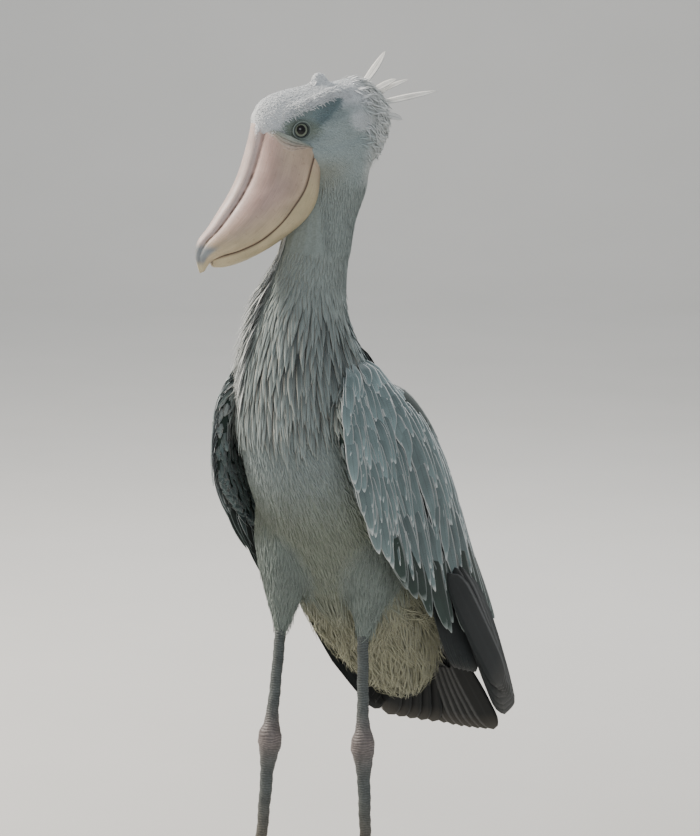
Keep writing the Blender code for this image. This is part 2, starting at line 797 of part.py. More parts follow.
def wing_vanes(side, chance):
    """All the long feathers of a folded wing, tier by tier."""
    vanes = []

    def lay(name, root, tip, width, lift, thick, shape, over=0.0):
        tip = (tip[0] + chance.uniform(-0.08, 0.08), tip[1] + chance.uniform(-1.2, 1.2))
        vanes.append(vane(
            name, WING, tightened(root, side), tightened(tip, side), width, lift, thick, shape,
            over=over, place=lambda point: on_side(point, side),
        ))

    for name, count, roots, tips, width, lift, thick in (*WING_TIERS, SHOULDER_TIER):
        for k in range(count):
            share = 2 * k / (count - 1)
            lay(name, spline(roots, share), spline(tips, share), width, lift, thick, LANCE)
    for k in range(PRIMARY_COUNT):
        share = k / (PRIMARY_COUNT - 1)
        root = [a + (b - a) * share for a, b in zip(*PRIMARY_ROOTS)]
        tip = [a + (b - a) * share for a, b in zip(*PRIMARY_TIPS)]
        over = PRIMARY_STEP * (PRIMARY_COUNT - 1 - k)
        lay("primary", root, tip, PRIMARY_WIDTH, STANDING, 0.0013, ROUND, over)
    return vanes


def wing(name, edges, side, torso):
    """A folded wing: its flesh cut clear of the body, then its feathers joined on."""
    thing = wing_core(name, edges, side)
    fuse(thing, wing_vanes(side, random.Random(name)))
    clear_of(thing, [torso])
    slimmed(thing, WING_SHARE)
    return thing


def on_side(point, side):
    """A point of the left wing, its tip held out, or of the right wing, its tip tucked in."""
    if side > 0:
        spread = min(max((SPREAD_START - point.z) / (SPREAD_START - SPREAD_END), 0), 1)
        return point + Vector((SPREAD_ASIDE, SPREAD_BACK, 0)) * spread
    tuck = (TUCK_START - point.z) / (TUCK_START - TUCK_END)
    tuck = min(max(tuck, 0), 1) ** 1.5
    return Vector((-point.x * (1 - TUCK_ASIDE * tuck), point.y, point.z - TUCK_DROP * tuck))


def tail(torso):
    """Twelve tail feathers stacked in a fan, rooted in a short wedge."""
    along = (TAIL_TIP - TAIL_ROOT).normalized()
    length = (TAIL_TIP - TAIL_ROOT).length
    normal = Vector((0, -along.z, along.y)).normalized()
    long, wide, deep = TAIL_CORE
    centre = TAIL_ROOT - along * TAIL_BASE - normal * (TAIL_STEP * TAIL_FEATHERS / 2)
    rings = []
    for share, grow in ((0.0, 0.80), (0.5, 1.0), (1.0, 0.85)):
        middle = centre + along * long * share
        turns = [2 * math.pi * k / 14 for k in range(14)]
        rings.append([
            middle + Vector((math.cos(t), 0, 0)) * wide / 2 * grow + normal * math.sin(t) * deep / 2 * grow
            for t in turns
        ])
    thing = loft("tail", rings)
    vanes = []
    order = sorted(range(TAIL_FEATHERS), key=lambda k: (abs(k - (TAIL_FEATHERS - 1) / 2), k))
    for layer, k in enumerate(order):
        aside = k - (TAIL_FEATHERS - 1) / 2
        turn = aside * TAIL_FAN
        line = along * math.cos(turn) + Vector((1, 0, 0)) * math.sin(turn)
        across = Vector((1, 0, 0)) * math.cos(turn) - along * math.sin(turn)
        start = TAIL_ROOT + along * 0.020 + Vector((aside * TAIL_SPREAD, 0, 0)) - normal * (layer * TAIL_STEP)
        reach = (length - 0.020) * (1 - 0.012 * abs(aside))
        sections = []
        for share, part in ROUND:
            middle = start + line * reach * share
            half = across * (TAIL_WIDTH * part / 2)
            sections.append((middle - half, middle, middle + half, normal, 0.0013))
        vanes.append(blade("rectrix", sections, start + line * reach))
    fuse(thing, vanes)
    clear_of(thing, [torso])
    return thing


def leg(name, knee, ankle, heel, side):
    """The feathered thigh, bare shank and tarsus of one leg, end to end."""
    hip = Vector((0.062 * side, ankle.y + 0.045, THIGH_TOP))
    gap = Vector((0, 0, GAP))
    thigh = limb("thigh_" + name, [
        (hip, 0.056),
        (hip.lerp(knee, 0.30), 0.051),
        (hip.lerp(knee, 0.52), 0.041),
        (hip.lerp(knee, 0.70), 0.029),
        (hip.lerp(knee, 0.86), 0.0175),
        (knee, 0.0102),
    ], 20, level=(-1,))
    low = ankle.lerp(knee, 0.12)
    shank = limb("shank_" + name, [
        (knee - gap, SHANK_RADIUS),
        (ankle.lerp(knee, 0.55), SHANK_RADIUS * 0.96),
        (ankle.lerp(knee, 0.25), SHANK_RADIUS * 1.05),
        (low, SHANK_RADIUS * 1.35),
    ], 16, level=(0, -1))
    tarsus = limb("tarsus_" + name, [
        (low - gap, SHANK_RADIUS * 1.37),
        (ankle + Vector((0, 0, 0.004)), 0.0168),
        (ankle - Vector((0, 0, 0.010)), 0.0175),
        (ankle.lerp(heel, 0.10), 0.0140),
        (ankle.lerp(heel, 0.19), TARSUS_RADIUS * 1.15),
        (ankle.lerp(heel, 0.28), TARSUS_RADIUS),
        (ankle.lerp(heel, 0.55), TARSUS_RADIUS * 0.95),
        (foot_top(heel) + (ankle - heel) * 0.14, TARSUS_RADIUS * 1.02),
        (foot_top(heel) + gap, TARSUS_RADIUS * 1.25),
    ], 16, level=(0, -1))
    return thigh, shank, tarsus


def foot_top(heel):
    return heel + Vector((0, 0, FOOT_HEIGHT))


# Toes: heading from straight ahead, outward positive, length and thickness.
TOES = (
    ("middle", 4, 0.150, 1.0),
    ("inner", -34, 0.120, 0.92),
    ("outer", 36, 0.130, 0.92),
    ("hind", 172, 0.072, 0.85),
)
CLAW_LENGTH = 0.022
CLAW_GAP = 0.0008


def toe_path(heel, heading, length, side, front):
    """Points along a toe from the foot's middle to its end, on the floor."""
    turn = math.radians(heading) * side
    along = Vector((math.sin(turn + front), -math.cos(turn + front), 0))
    return [heel + along * (length * share) for share in (0.0, 0.1, 0.28, 0.5, 0.75, 1.0)], along


def flat_limb(name, stations, count=10, floor=0.0):
    """A bar lying on the floor: round above, its underside pressed flat."""
    thing = limb(name, stations, count, aside=Vector((0, 0, 1)))
    for corner in thing.data.vertices:
        corner.co.z = max(corner.co.z, floor)
    return thing


def foot(name, heel, side, front):
    """The foot's block and four toes as one piece, and its four claws."""
    block = limb("foot_" + name, [
        (foot_top(heel), TARSUS_RADIUS * 1.25),
        (heel + Vector((0, 0, 0.018)), 0.0165),
        (heel + Vector((0, 0, 0.008)), 0.0175),
        (heel, 0.0150),
    ], 16)
    toes, claws = [], []
    for label, heading, length, thick in TOES:
        radius = TOE_RADIUS * thick
        path, along = toe_path(heel, heading, length, side, front)
        rises = (1.2, 1.15, 1.0, 0.95, 0.85, 0.7)
        stations = []
        for place, rise in zip(path, rises):
            lift = radius * rise * 0.80
            stations.append((place + Vector((0, 0, lift)), radius * rise))
        toes.append(flat_limb("toe_" + label, stations))
        tip = path[-1] + along * CLAW_GAP
        size = radius * 0.62
        claw = flat_limb("claw_%s_%s" % (name, label), [
            (tip + Vector((0, 0, size * 0.9)), size),
            (tip + along * CLAW_LENGTH * 0.45 + Vector((0, 0, size * 0.95)), size * 0.75),
            (tip + along * CLAW_LENGTH * 0.8 + Vector((0, 0, size * 0.65)), size * 0.4),
            (tip + along * CLAW_LENGTH + Vector((0, 0, 0.0012)), 0.0008),
        ], 6)
        claws.append(claw)
    fuse(block, toes)
    return block, claws


def build():
    discard(list(bpy.data.objects))
    skin = material("head plumage", (0.45, 0.50, 0.54), 0.8)
    slate = material("wing feathers", (0.16, 0.20, 0.23), 0.6)
    grey = material("body feathers", (0.33, 0.38, 0.40), 0.75)
    dark = material("tail feathers", (0.09, 0.11, 0.12), 0.6)
    horn = material("bill horn", (0.60, 0.49, 0.44), 0.45)
    scaly = material("leg skin", (0.12, 0.12, 0.13), 0.6)
    iris = material("eye", (0.40, 0.46, 0.50), 0.1)
    black = material("claw horn", (0.03, 0.03, 0.03), 0.4)

    upper = upper_bill()
    lower = lower_bill()
    clear_of(lower, [upper])
    eyes = [eye("eye_left", 1), eye("eye_right", -1)]
    head = head_block("head", 5)
    slimmed(head, HEAD_SHARE)
    halve(head, Vector((0, 0, NECK_TOP + GAP / 2)), Vector((0, 0, -1)))
    fuse(head, [*crest_vanes(), *lids()])
    clear_of(head, [upper, lower, *eyes])
    neck = neck_solid()
    clear_of(neck, [lower])
    torso = torso_core()
    wings = [wing("wing_left", LEFT_EDGES, 1, torso), wing("wing_right", RIGHT_EDGES, -1, torso)]
    rear = tail(torso)
    left = leg("left", KNEE_LEFT, ANKLE_LEFT, HEEL_LEFT, 1)
    right = leg("right", KNEE_RIGHT, ANKLE_RIGHT, HEEL_RIGHT, -1)
    for thigh in (left[0], right[0]):
        clear_of(thigh, [torso, *wings])
    fuse(torso, torso_vanes(random.Random("torso")))
    slimmed(torso, TORSO_SHARE)
    foot_left, claws_left = foot("left", HEEL_LEFT, 1, math.radians(8))
    foot_right, claws_right = foot("right", HEEL_RIGHT, -1, math.radians(-14))

    for thing in (upper, lower):
        finish(thing, horn)
    for thing in eyes:
        finish(thing, iris)
    finish(head, skin)
    for thing in (neck, torso, left[0], right[0]):
        finish(thing, grey)
    for thing in wings:
        finish(thing, slate)
    finish(rear, dark)
    for thing in (*left[1:], *right[1:], foot_left, foot_right):
        finish(thing, scaly)
    for thing in (*claws_left, *claws_right):
        finish(thing, black)
    settle()


def settle():
    """Move everything so that the origin is under the middle of the whole bird."""
    things = [o for o in bpy.context.scene.objects if o.type == "MESH"]
    bpy.context.view_layer.update()
    corners = [o.matrix_world @ v.co for o in things for v in o.data.vertices]
    low = Vector(min(c[k] for c in corners) for k in range(3))
    high = Vector(max(c[k] for c in corners) for k in range(3))
    shift = Vector(((low.x + high.x) / -2, (low.y + high.y) / -2, -low.z))
    for thing in things:
        thing.location += shift


build()
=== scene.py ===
"""Looks of the standing shoebill: skin, feathers, bill, eyes, legs, light and camera.

The script works in the same frame as the model's source, before that source settles the
bird over the origin. ORIGIN is that last shift, read from the eye's place in the frame.
"""

import math

import bmesh
import bpy
import numpy as np
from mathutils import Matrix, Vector
from mathutils.bvhtree import BVHTree


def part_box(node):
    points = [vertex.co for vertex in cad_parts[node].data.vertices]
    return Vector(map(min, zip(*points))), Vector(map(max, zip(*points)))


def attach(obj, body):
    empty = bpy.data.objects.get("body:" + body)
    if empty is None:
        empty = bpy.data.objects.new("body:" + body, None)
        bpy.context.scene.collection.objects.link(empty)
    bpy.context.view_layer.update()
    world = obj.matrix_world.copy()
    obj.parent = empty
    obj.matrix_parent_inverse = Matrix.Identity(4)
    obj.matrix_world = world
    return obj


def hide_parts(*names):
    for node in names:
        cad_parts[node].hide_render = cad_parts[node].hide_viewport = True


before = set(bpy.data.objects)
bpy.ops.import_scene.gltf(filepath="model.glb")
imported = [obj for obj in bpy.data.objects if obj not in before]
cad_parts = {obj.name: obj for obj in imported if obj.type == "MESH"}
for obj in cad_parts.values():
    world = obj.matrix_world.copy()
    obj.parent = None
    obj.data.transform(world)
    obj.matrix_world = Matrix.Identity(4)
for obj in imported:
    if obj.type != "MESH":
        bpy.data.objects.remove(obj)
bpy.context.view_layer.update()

# The photograph: its size, the eye height and turn of the camera, its focal length in
# pixels, and where the middle of the bird falls.
PHOTO_WIDTH = 700
PHOTO_HEIGHT = 836
CAMERA_AZIMUTH = math.radians(33)
CAMERA_ELEVATION = math.radians(9)
CAMERA_DISTANCE = 6.0
FOCAL_PIXELS = 4178
MIDDLE = np.array((0, 0, 0.62))
MIDDLE_PIXEL = (321.7, 489.2)

# Head frame, as in the source.
HEAD_PLACE = np.array((-0.017, -0.048, 1.145))
HEAD_TURN = math.radians(32)
HEAD_FRONT = np.array((-math.sin(HEAD_TURN), -math.cos(HEAD_TURN), 0))
HEAD_LEFT = np.array((math.cos(HEAD_TURN), -math.sin(HEAD_TURN), 0))
HEAD_UP = np.array((0, 0, 1))
HEAD_AXES = np.array((HEAD_FRONT, HEAD_LEFT, HEAD_UP))
LEFTWARD = np.array((1.0, 0, 0))
UPWARD = np.array((0, 0, 1.0))

EYE_PLACE = np.array((0.006, 0.0335, -0.005))
EYE_RADIUS = 0.0125
GAZE = np.array((0.16, 0.98, 0.07))


def head_point(forward, aside, rise):
    return HEAD_PLACE + HEAD_FRONT * forward + HEAD_LEFT * aside + HEAD_UP * rise


def head_points(places):
    """Places given as forward, aside and up on the head, in the bird's frame."""
    return HEAD_PLACE + places @ HEAD_AXES


def head_local(points):
    """Places forward, aside and up on the head."""
    return (points - HEAD_PLACE) @ HEAD_AXES.T


def mirrored(places):
    """Places on the head with both of its sides as one."""
    return np.stack((places[:, 0], np.abs(places[:, 1]), places[:, 2]), -1)


def box_middle(node):
    low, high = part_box(node)
    return (np.array(low) + np.array(high)) / 2


ORIGIN = box_middle("eye_left") - head_point(*EYE_PLACE)

# Body sections from the nape to the vent: y, z, half width, belly depth, back depth.
BODY_ROWS = np.array((
    (0.010, 1.090, 0.040, 0.040, 0.050),
    (0.004, 1.030, 0.046, 0.047, 0.054),
    (-0.016, 0.965, 0.050, 0.051, 0.052),
    (-0.034, 0.910, 0.056, 0.060, 0.058),
    (-0.044, 0.860, 0.070, 0.074, 0.064),
    (-0.040, 0.810, 0.088, 0.094, 0.074),
    (-0.020, 0.750, 0.104, 0.121, 0.088),
    (0.012, 0.685, 0.117, 0.127, 0.102),
    (0.050, 0.615, 0.121, 0.122, 0.110),
    (0.092, 0.545, 0.118, 0.118, 0.106),
    (0.134, 0.475, 0.108, 0.112, 0.100),
    (0.178, 0.410, 0.090, 0.098, 0.080),
    (0.222, 0.350, 0.066, 0.076, 0.056),
    (0.262, 0.298, 0.036, 0.044, 0.030),
))
BODY_SQUARENESS = 2.3
# The shell on which the folded wings lie, shoulder to wing tip, in the same terms.
WING_ROWS = np.array((
    (-0.042, 0.826, 0.082, 0.096, 0.050),
    (-0.028, 0.756, 0.117, 0.134, 0.080),
    (0.004, 0.690, 0.139, 0.154, 0.106),
    (0.044, 0.620, 0.147, 0.160, 0.114),
    (0.086, 0.548, 0.148, 0.150, 0.114),
    (0.133, 0.478, 0.145, 0.138, 0.106),
    (0.186, 0.412, 0.141, 0.120, 0.098),
    (0.240, 0.350, 0.137, 0.100, 0.080),
    (0.294, 0.294, 0.130, 0.080, 0.052),
    (0.346, 0.242, 0.122, 0.060, 0.030),
))
WING_SQUARENESS = 3.2
# Edges of the wing's flesh: place along the shell, front and rear degree, thickness.
LEFT_EDGES = np.array((
    (0.42, 86, 98, 0.014),
    (0.8, 64, 124, 0.020),
    (1.2, 55, 136, 0.018),
    (2.0, 51, 148, 0.013),
    (2.8, 54, 150, 0.012),
    (3.6, 62, 148, 0.011),
    (4.4, 74, 142, 0.010),
    (5.2, 86, 132, 0.008),
    (5.8, 95, 112, 0.005),
))
RIGHT_EDGES = np.array((
    (0.42, 86, 98, 0.014),
    (0.8, 64, 124, 0.020),
    (1.2, 56, 136, 0.018),
    (2.0, 55, 148, 0.013),
    (2.8, 68, 150, 0.012),
    (3.6, 80, 148, 0.011),
    (4.4, 88, 142, 0.010),
    (5.2, 93, 132, 0.008),
    (5.8, 97, 112, 0.005),
))
WING_REAR = 150
# Heights between which the left wing's tip is held out, by this much, and between which the
# right one's is drawn in to the side, by this share, and let down.
SPREAD_START = 0.500
SPREAD_END = 0.320
SPREAD = np.array((0.019, 0.008, 0))
TUCK_START = 0.56
TUCK_END = 0.24
TUCK_ASIDE = 0.24
TUCK_DROP = 0.022
TUCK_CURVE = 1.5

TAIL_ROOT = np.array((0, 0.290, 0.372))
TAIL_TIP = np.array((-0.004, 0.362, 0.209))

ANKLES = {1: np.array((0.065, 0.009, 0.254)), -1: np.array((-0.070, -0.030, 0.255))}
HEELS = {1: np.array((0.070, 0.014, 0.0)), -1: np.array((-0.089, -0.040, 0.0))}
FOOT_TURN = {1: math.radians(8), -1: math.radians(-14)}
THIGH_TOP = 0.600
THIGH_END = 0.404
KNEES = {1: np.array((0.061, 0.015, THIGH_END)), -1: np.array((-0.068, -0.004, THIGH_END))}
TOE_RADIUS = 0.0085
FOOT_HEIGHT = 0.030
SIDE_NAMES = {1: "left", -1: "right"}


# Colour

def linear(code):
    """An sRGB hex colour as linear red, green and blue."""
    parts = [int(code[k:k + 2], 16) / 255 for k in (1, 3, 5)]
    return np.array([p / 12.92 if p <= 0.04045 else ((p + 0.055) / 1.055) ** 2.4 for p in parts])


CROWN = linear("#dfe3e6")
# The band round the eye under the brow, at its rear and at its front: partly its own blue-grey, partly
# painted shade of the brow's overhang.
MASK_AND_SHADE_REAR = linear("#728589")
MASK_AND_SHADE_FRONT = linear("#8b9b9c")
EYE_SKIN = linear("#7d877b")
CHEEK = linear("#a4b1b1")
# THROAT, BELLY, FLANK, VENT and THIGH lean toward olive: partly the plumage's own tone, partly painted green
# light thrown up from the ground.
THROAT = linear("#98998a")
# The nape's creamy white, made lighter still as painted sunlight; the ruff and the tops of the wings take it
# too.
NAPE = linear("#d3d7d5")
NECK = linear("#96a09c")
BREAST = linear("#8f9b9a")
BELLY = linear("#828a7c")
FLANK = linear("#7c867f")
VENT = linear("#a3a288")
MANTLE = linear("#566463")
THIGH = linear("#838e87")
COVERT = linear("#6c7c7d")
SECONDARY = linear("#35443f")
PRIMARY = linear("#171d1f")
RECTRIX = linear("#101313")


# Smooth surfaces

def spline(rows, u):
    """Values at places u on a smooth curve through the rows, one row per unit."""
    u = np.atleast_1d(np.asarray(u, float))
    last = len(rows) - 1
    first = np.clip(np.floor(u).astype(int), 0, last - 1)
    t = (u - first)[:, None]
    a, b, c, d = (rows[np.clip(first + k, 0, last)] for k in (-1, 0, 1, 2))
    bend = 2 * a - 5 * b + 4 * c - d
    twist = 3 * (b - c) + d - a
    return b + 0.5 * t * (c - a + t * (bend + t * twist))


def between(rows, place):
    """Values at places on straight lines between rows whose first value is the place."""
    return [np.interp(place, rows[:, 0], rows[:, k]) for k in range(1, rows.shape[1])]


def unit(vectors):
    return vectors / np.maximum(np.linalg.norm(vectors, axis=-1, keepdims=True), 1e-12)


def power(values, exponent):
    return np.sign(values) * np.abs(values) ** exponent


class Form:
    """A long rounded surface; u runs along its rows, theta round it from the belly."""

    def __init__(self, rows, squareness):
        self.rows = rows
        self.exponent = 2 / squareness

    def point(self, u, theta, out=0.0):
        u, theta, out = np.broadcast_arrays(np.asarray(u, float), theta, out)
        shape = u.shape
        u, theta, out = u.ravel(), theta.ravel(), out.ravel()
        y, z, wide, belly, back = spline(self.rows, u).T
        ahead, behind = spline(self.rows, u + 0.02), spline(self.rows, u - 0.02)
        along = unit(np.stack((ahead[:, 0] - behind[:, 0], ahead[:, 1] - behind[:, 1]), -1))
        front = np.stack((np.zeros(len(u)), along[:, 1], -along[:, 0]), -1)
        sine, cosine = np.sin(theta), np.cos(theta)
        deep = np.where(cosine > 0, belly, back)
        place = np.stack((np.zeros(len(u)), y, z), -1)
        place += LEFTWARD * (wide * power(sine, self.exponent))[:, None]
        place += front * (deep * power(cosine, self.exponent))[:, None]
        normal = LEFTWARD * (sine / wide)[:, None] + front * (cosine / deep)[:, None]
        return (place + unit(normal) * out[:, None]).reshape(*shape, 3)

    def lie(self, u, theta):
        """Unit direction along the surface toward the tail."""
        return unit(self.point(u + 0.05, theta) - self.point(u - 0.05, theta))

    def moved(self, u, theta, step):
        """The place on the surface that a short step in space leads to."""
        small = 0.02
        here = self.point(u, theta)
        along = (self.point(u + small, theta) - here) / small
        around = (self.point(u, theta + small) - here) / small
        pairs = (along, along), (along, around), (around, around)
        a, b, c = ((first * second).sum(-1) for first, second in pairs)
        p, q = (along * step).sum(-1), (around * step).sum(-1)
        size = a * c - b * b
        return u + (c * p - b * q) / size, theta + (a * q - b * p) / size


BODY = Form(BODY_ROWS, BODY_SQUARENESS)
WING = Form(WING_ROWS, WING_SQUARENESS)


def on_side(points, side):
    """Points of the left wing, its tip held out, or of the right one, its tip tucked in."""
    if side > 0:
        held = np.clip((SPREAD_START - points[..., 2]) / (SPREAD_START - SPREAD_END), 0, 1)
        return points + SPREAD * held[..., None]
    tuck = np.clip((TUCK_START - points[..., 2]) / (TUCK_START - TUCK_END), 0, 1) ** TUCK_CURVE
    moved = points.copy()
    moved[..., 0] = -points[..., 0] * (1 - TUCK_ASIDE * tuck)
    moved[..., 2] = points[..., 2] - TUCK_DROP * tuck
    return moved


# Head

# Rounded masses of the head: middle and half sizes, forward, aside and up. Those aside
# come in pairs. The last ones are the brow, the cheek behind the eye and the crown's tuft.
HEAD_MASSES = (
    ((-0.042, 0, 0.002), (0.096, 0.052, 0.055), 0.022),
    ((0.022, 0, 0.008), (0.038, 0.030, 0.032), 0.022),
    ((-0.058, 0.020, -0.034), (0.058, 0.038, 0.046), 0.022),
    ((-0.093, 0, 0.004), (0.046, 0.045, 0.059), 0.022),
    ((-0.068, 0, -0.072), (0.044, 0.036, 0.050), 0.022),
    ((-0.062, 0.043, 0.004), (0.027, 0.017, 0.022), 0.010),
    ((-0.046, 0.040, -0.030), (0.036, 0.016, 0.026), 0.012),
    ((-0.040, 0, 0.064), (0.010, 0.008, 0.009), 0.016),
)
NECK_BLEND = 0.030
SOCKET_RADIUS = 0.034
SOCKET_ASIDE = 0.0705
SOCKET_BLEND = 0.007
# The brow: bars from place to place (forward, aside, up) and their radius; then the hollow
# that runs from the eye up behind it.
BROW_LINE = (
    (0.036, 0.014, 0.012), (0.004, 0.036, 0.025), (-0.048, 0.029, 0.043), (-0.078, 0.022, 0.046),
)
BROW_RADIUS = 0.0085
BROW_BLEND = 0.008
HOLLOW_LINE = ((0.006, 0.058, 0.006), (-0.044, 0.054, 0.027))
HOLLOW_RADIUS = 0.0135
# The grooves of the face: start and end on the head (forward, up), depth, width.
FACE_GROOVES = (
    ((-0.020, -0.030), (-0.082, -0.016), 0.0022, 0.0060),
    ((0.052, 0.020), (0.030, 0.000), 0.0022, 0.0040),
)
HEAD_MIDDLE = np.array((-0.045, 0, -0.012))
HEAD_COAT = 0.0010


def ellipsoid_distance(places, middle, half):
    offset = places - np.array(middle)
    near = np.linalg.norm(offset / np.array(half), axis=1)
    slope = np.linalg.norm(offset / np.array(half) ** 2, axis=1)
    return near * (near - 1) / np.maximum(slope, 1e-9)


def blended(near, far, reach):
    """The smaller of two distances, rounded where they are within reach of each other."""
    share = np.maximum(reach - np.abs(near - far), 0) / reach
    return np.minimum(near, far) - share * share * reach / 4


def neck_distance(places):
    world = head_points(places)
    top, low = BODY_ROWS[0, 1], BODY_ROWS[1, 1]
    y, _, wide, belly, back = spline(BODY_ROWS, (top - world[:, 2]) / (top - low)).T
    deep = np.where(world[:, 1] < y, belly, back)
    ring = np.hypot(world[:, 0] / wide, (world[:, 1] - y) / deep)
    return np.maximum((ring - 1) * wide, world[:, 2] - top)


def axis_distance(points, start, end):
    """Distance to the line between two places, and the share of the line at the nearest one."""
    start, end = np.array(start), np.array(end)
    line = end - start
    share = np.clip((points - start) @ line / (line @ line), 0, 1)
    return np.linalg.norm(points - start - share[:, None] * line, axis=1), share


def bar_distance(places, start, end):
    return axis_distance(places, start, end)[0]


def groove(places, start, end, width):
    """One along a line between two places, falling to nought away from it."""
    return np.exp(-(bar_distance(places, start, end) / width) ** 2)


def head_distance(places):
    """Rough distance to the head's skin, less than nought inside."""
    paired = mirrored(places)
    distance = np.ones(len(places))
    for middle, half, blend in HEAD_MASSES:
        distance = blended(distance, ellipsoid_distance(paired, middle, half), blend)
    distance = blended(distance, neck_distance(places), NECK_BLEND)
    for start, end in zip(BROW_LINE, BROW_LINE[1:]):
        distance = blended(distance, bar_distance(paired, start, end) - BROW_RADIUS, BROW_BLEND)
    hollow = bar_distance(paired, *HOLLOW_LINE) - HOLLOW_RADIUS
    socket = np.array((EYE_PLACE[0], SOCKET_ASIDE, EYE_PLACE[2]))
    for cut in (hollow, np.linalg.norm(paired - socket, axis=1) - SOCKET_RADIUS):
        distance = -blended(-distance, cut, SOCKET_BLEND)
    for start, end, depth, width in FACE_GROOVES:
        distance = distance + depth * groove(paired[:, (0, 2)], start, end, width)
    return distance


LONGEST_REACH = 0.18
SHORTEST_REACH = 0.004
REACH_STEP = 0.002


def head_reach(directions):
    """How far the skin lies from the head's middle in each direction."""
    inside = np.zeros(len(directions))
    for reach in np.arange(LONGEST_REACH, SHORTEST_REACH, -REACH_STEP):
        found = (inside == 0) & (head_distance(HEAD_MIDDLE + directions * reach) < 0)
        inside[found] = reach
    outside = inside + REACH_STEP
    for _ in range(7):
        middle = (inside + outside) / 2
        out = head_distance(HEAD_MIDDLE + directions * middle[:, None]) > 0
        outside = np.where(out, middle, outside)
        inside = np.where(out, inside, middle)
    return inside


# Meshes from arrays

def new_object(name, data):
    thing = bpy.data.objects.new(name, data)
    bpy.context.scene.collection.objects.link(thing)
    return thing


def mesh_object(name, points, triangles, material=None):
    """An object of these points, in the bird's frame, and triangles."""
    mesh = bpy.data.meshes.new(name)
    mesh.vertices.add(len(points))
    mesh.vertices.foreach_set("co", (points + ORIGIN).astype(np.float32).ravel())
    mesh.loops.add(3 * len(triangles))
    mesh.loops.foreach_set("vertex_index", triangles.astype(np.int32).ravel())
    mesh.polygons.add(len(triangles))
    mesh.polygons.foreach_set("loop_start", np.arange(0, 3 * len(triangles), 3, dtype=np.int32))
    mesh.update(calc_edges=True)
    mesh.validate()
    mesh.shade_smooth()
    if material:
        mesh.materials.append(material)
    return new_object(name, mesh)


def vertex_values(thing, field="co"):
    values = np.empty(3 * len(thing.data.vertices))
    thing.data.vertices.foreach_get(field, values)
    return values.reshape(-1, 3)


def mesh_points(thing):
    """The mesh's points in the bird's frame."""
    return vertex_values(thing) - ORIGIN


def move_points(thing, points):
    thing.data.vertices.foreach_set("co", (points + ORIGIN).astype(np.float32).ravel())
    thing.data.update()


def attribute(thing, name, kind, values):
    """Store values, one per corner point, on the mesh."""
    layer = thing.data.attributes.new(name, kind, "POINT")
    field = "color" if kind == "FLOAT_COLOR" else "vector"
    layer.data.foreach_set(field, np.asarray(values, np.float32).ravel())


def store_tint(thing, colour):
    """Store opaque colours, one per corner point."""
    attribute(thing, "tint", "FLOAT_COLOR", np.concatenate((colour, np.ones((len(colour), 1))), 1))


def unwrap(thing, name, values):
    """A UV map from values given per corner point."""
    layer = thing.data.uv_layers.new(name=name)
    loops = np.empty(len(thing.data.loops), np.int32)
    thing.data.loops.foreach_get("vertex_index", loops)
    layer.data.foreach_set("uv", np.asarray(values, np.float32)[loops].ravel())


def tube_triangles(rings, count):
    """Triangles of a closed tube of rings, with an end point before and after them."""
    last = rings * count
    k = np.arange(count)
    following = (k + 1) % count
    start = np.stack((np.full(count, last), following, k), -1)
    end_ring = (rings - 1) * count
    end = np.stack((end_ring + k, end_ring + following, np.full(count, last + 1)), -1)
    rows = np.arange(rings - 1)[:, None] * count
    a, b = (rows + k).ravel(), (rows + following).ravel()
    sides = np.stack((a, b, b + count), -1), np.stack((a, b + count, a + count), -1)
    return np.concatenate((start, *sides, end))


def with_ends(values):
    """Values of a tube's rings, its two end points taking the first and the last."""
    return np.concatenate((values, values[:1], values[-1:]))


def tube(name, rings, material=None):
    """A closed tube through rings, an array of (rings, count, 3) points."""
    number, count = rings.shape[:2]
    ends = np.stack((rings[0].mean(0), rings[-1].mean(0)))
    points = np.concatenate((rings.reshape(-1, 3), ends))
    triangles = tube_triangles(number, count)
    a, b, c = (points[triangles[:, k]] for k in range(3))
    if np.einsum("ij,ij->i", np.cross(a, b), c).sum() < 0:
        triangles = triangles[:, ::-1]
    return mesh_object(name, points, triangles, material)


def turns_of(count):
    """Even angles of one whole turn."""
    return 2 * np.pi * np.arange(count) / count


def limb_rings(stations, radii, count, aside):
    """Round rings along a path of points."""
    along = unit(np.gradient(stations, axis=0))
    wide = unit(aside - along * (along @ aside)[:, None])
    deep = np.cross(along, wide)
    turns = turns_of(count)[None, :, None]
    ring = wide[:, None] * np.cos(turns) + deep[:, None] * np.sin(turns)
    return stations[:, None] + ring * np.asarray(radii)[:, None, None]


def resampled(rows, count):
    """A smooth curve through rows, at this many even places."""
    rows = np.asarray(rows, float)
    return spline(rows, np.linspace(0, len(rows) - 1, count))


# Feathers

# Share of the half width along a feather, from root to tip, for each kind of vane.
SHAPES = {
    "scale": ((0.0, 0.0), (0.15, 0.62), (0.5, 1.0), (0.85, 0.72), (1.0, 0.0)),
    "lance": (
        (0.0, 0.0), (0.1, 0.45), (0.3, 0.85), (0.55, 1.0), (0.8, 0.62), (0.93, 0.26), (1.0, 0.0),
    ),
    "covert": (
        (0.0, 0.0), (0.1, 0.5), (0.3, 0.9), (0.52, 1.0), (0.72, 0.84), (0.86, 0.54), (0.95, 0.26),
        (1.0, 0.0),
    ),
    "quill": ((0.0, 0.0), (0.05, 0.35), (0.2, 0.85), (0.5, 1.0), (0.85, 0.93), (0.96, 0.6), (1.0, 0.0)),
    "plume": (
        (0.0, 0.0), (0.1, 0.45), (0.3, 0.9), (0.5, 1.0), (0.68, 0.78), (0.82, 0.44), (0.93, 0.18),
        (1.0, 0.0),
    ),
}


def along_places(places):
    """Shares of the length at which a feather's places lie, nearer together at its ends."""
    return 0.5 - 0.5 * np.cos(np.pi * np.linspace(0, 1, places))


def widths_along(shape, share):
    """Share of the half width at each place of a kind of feather."""
    return np.interp(share, *np.array(SHAPES[shape]).T)


def path_lengths(paths):
    return np.linalg.norm(np.diff(paths, axis=1), axis=2).sum(1)


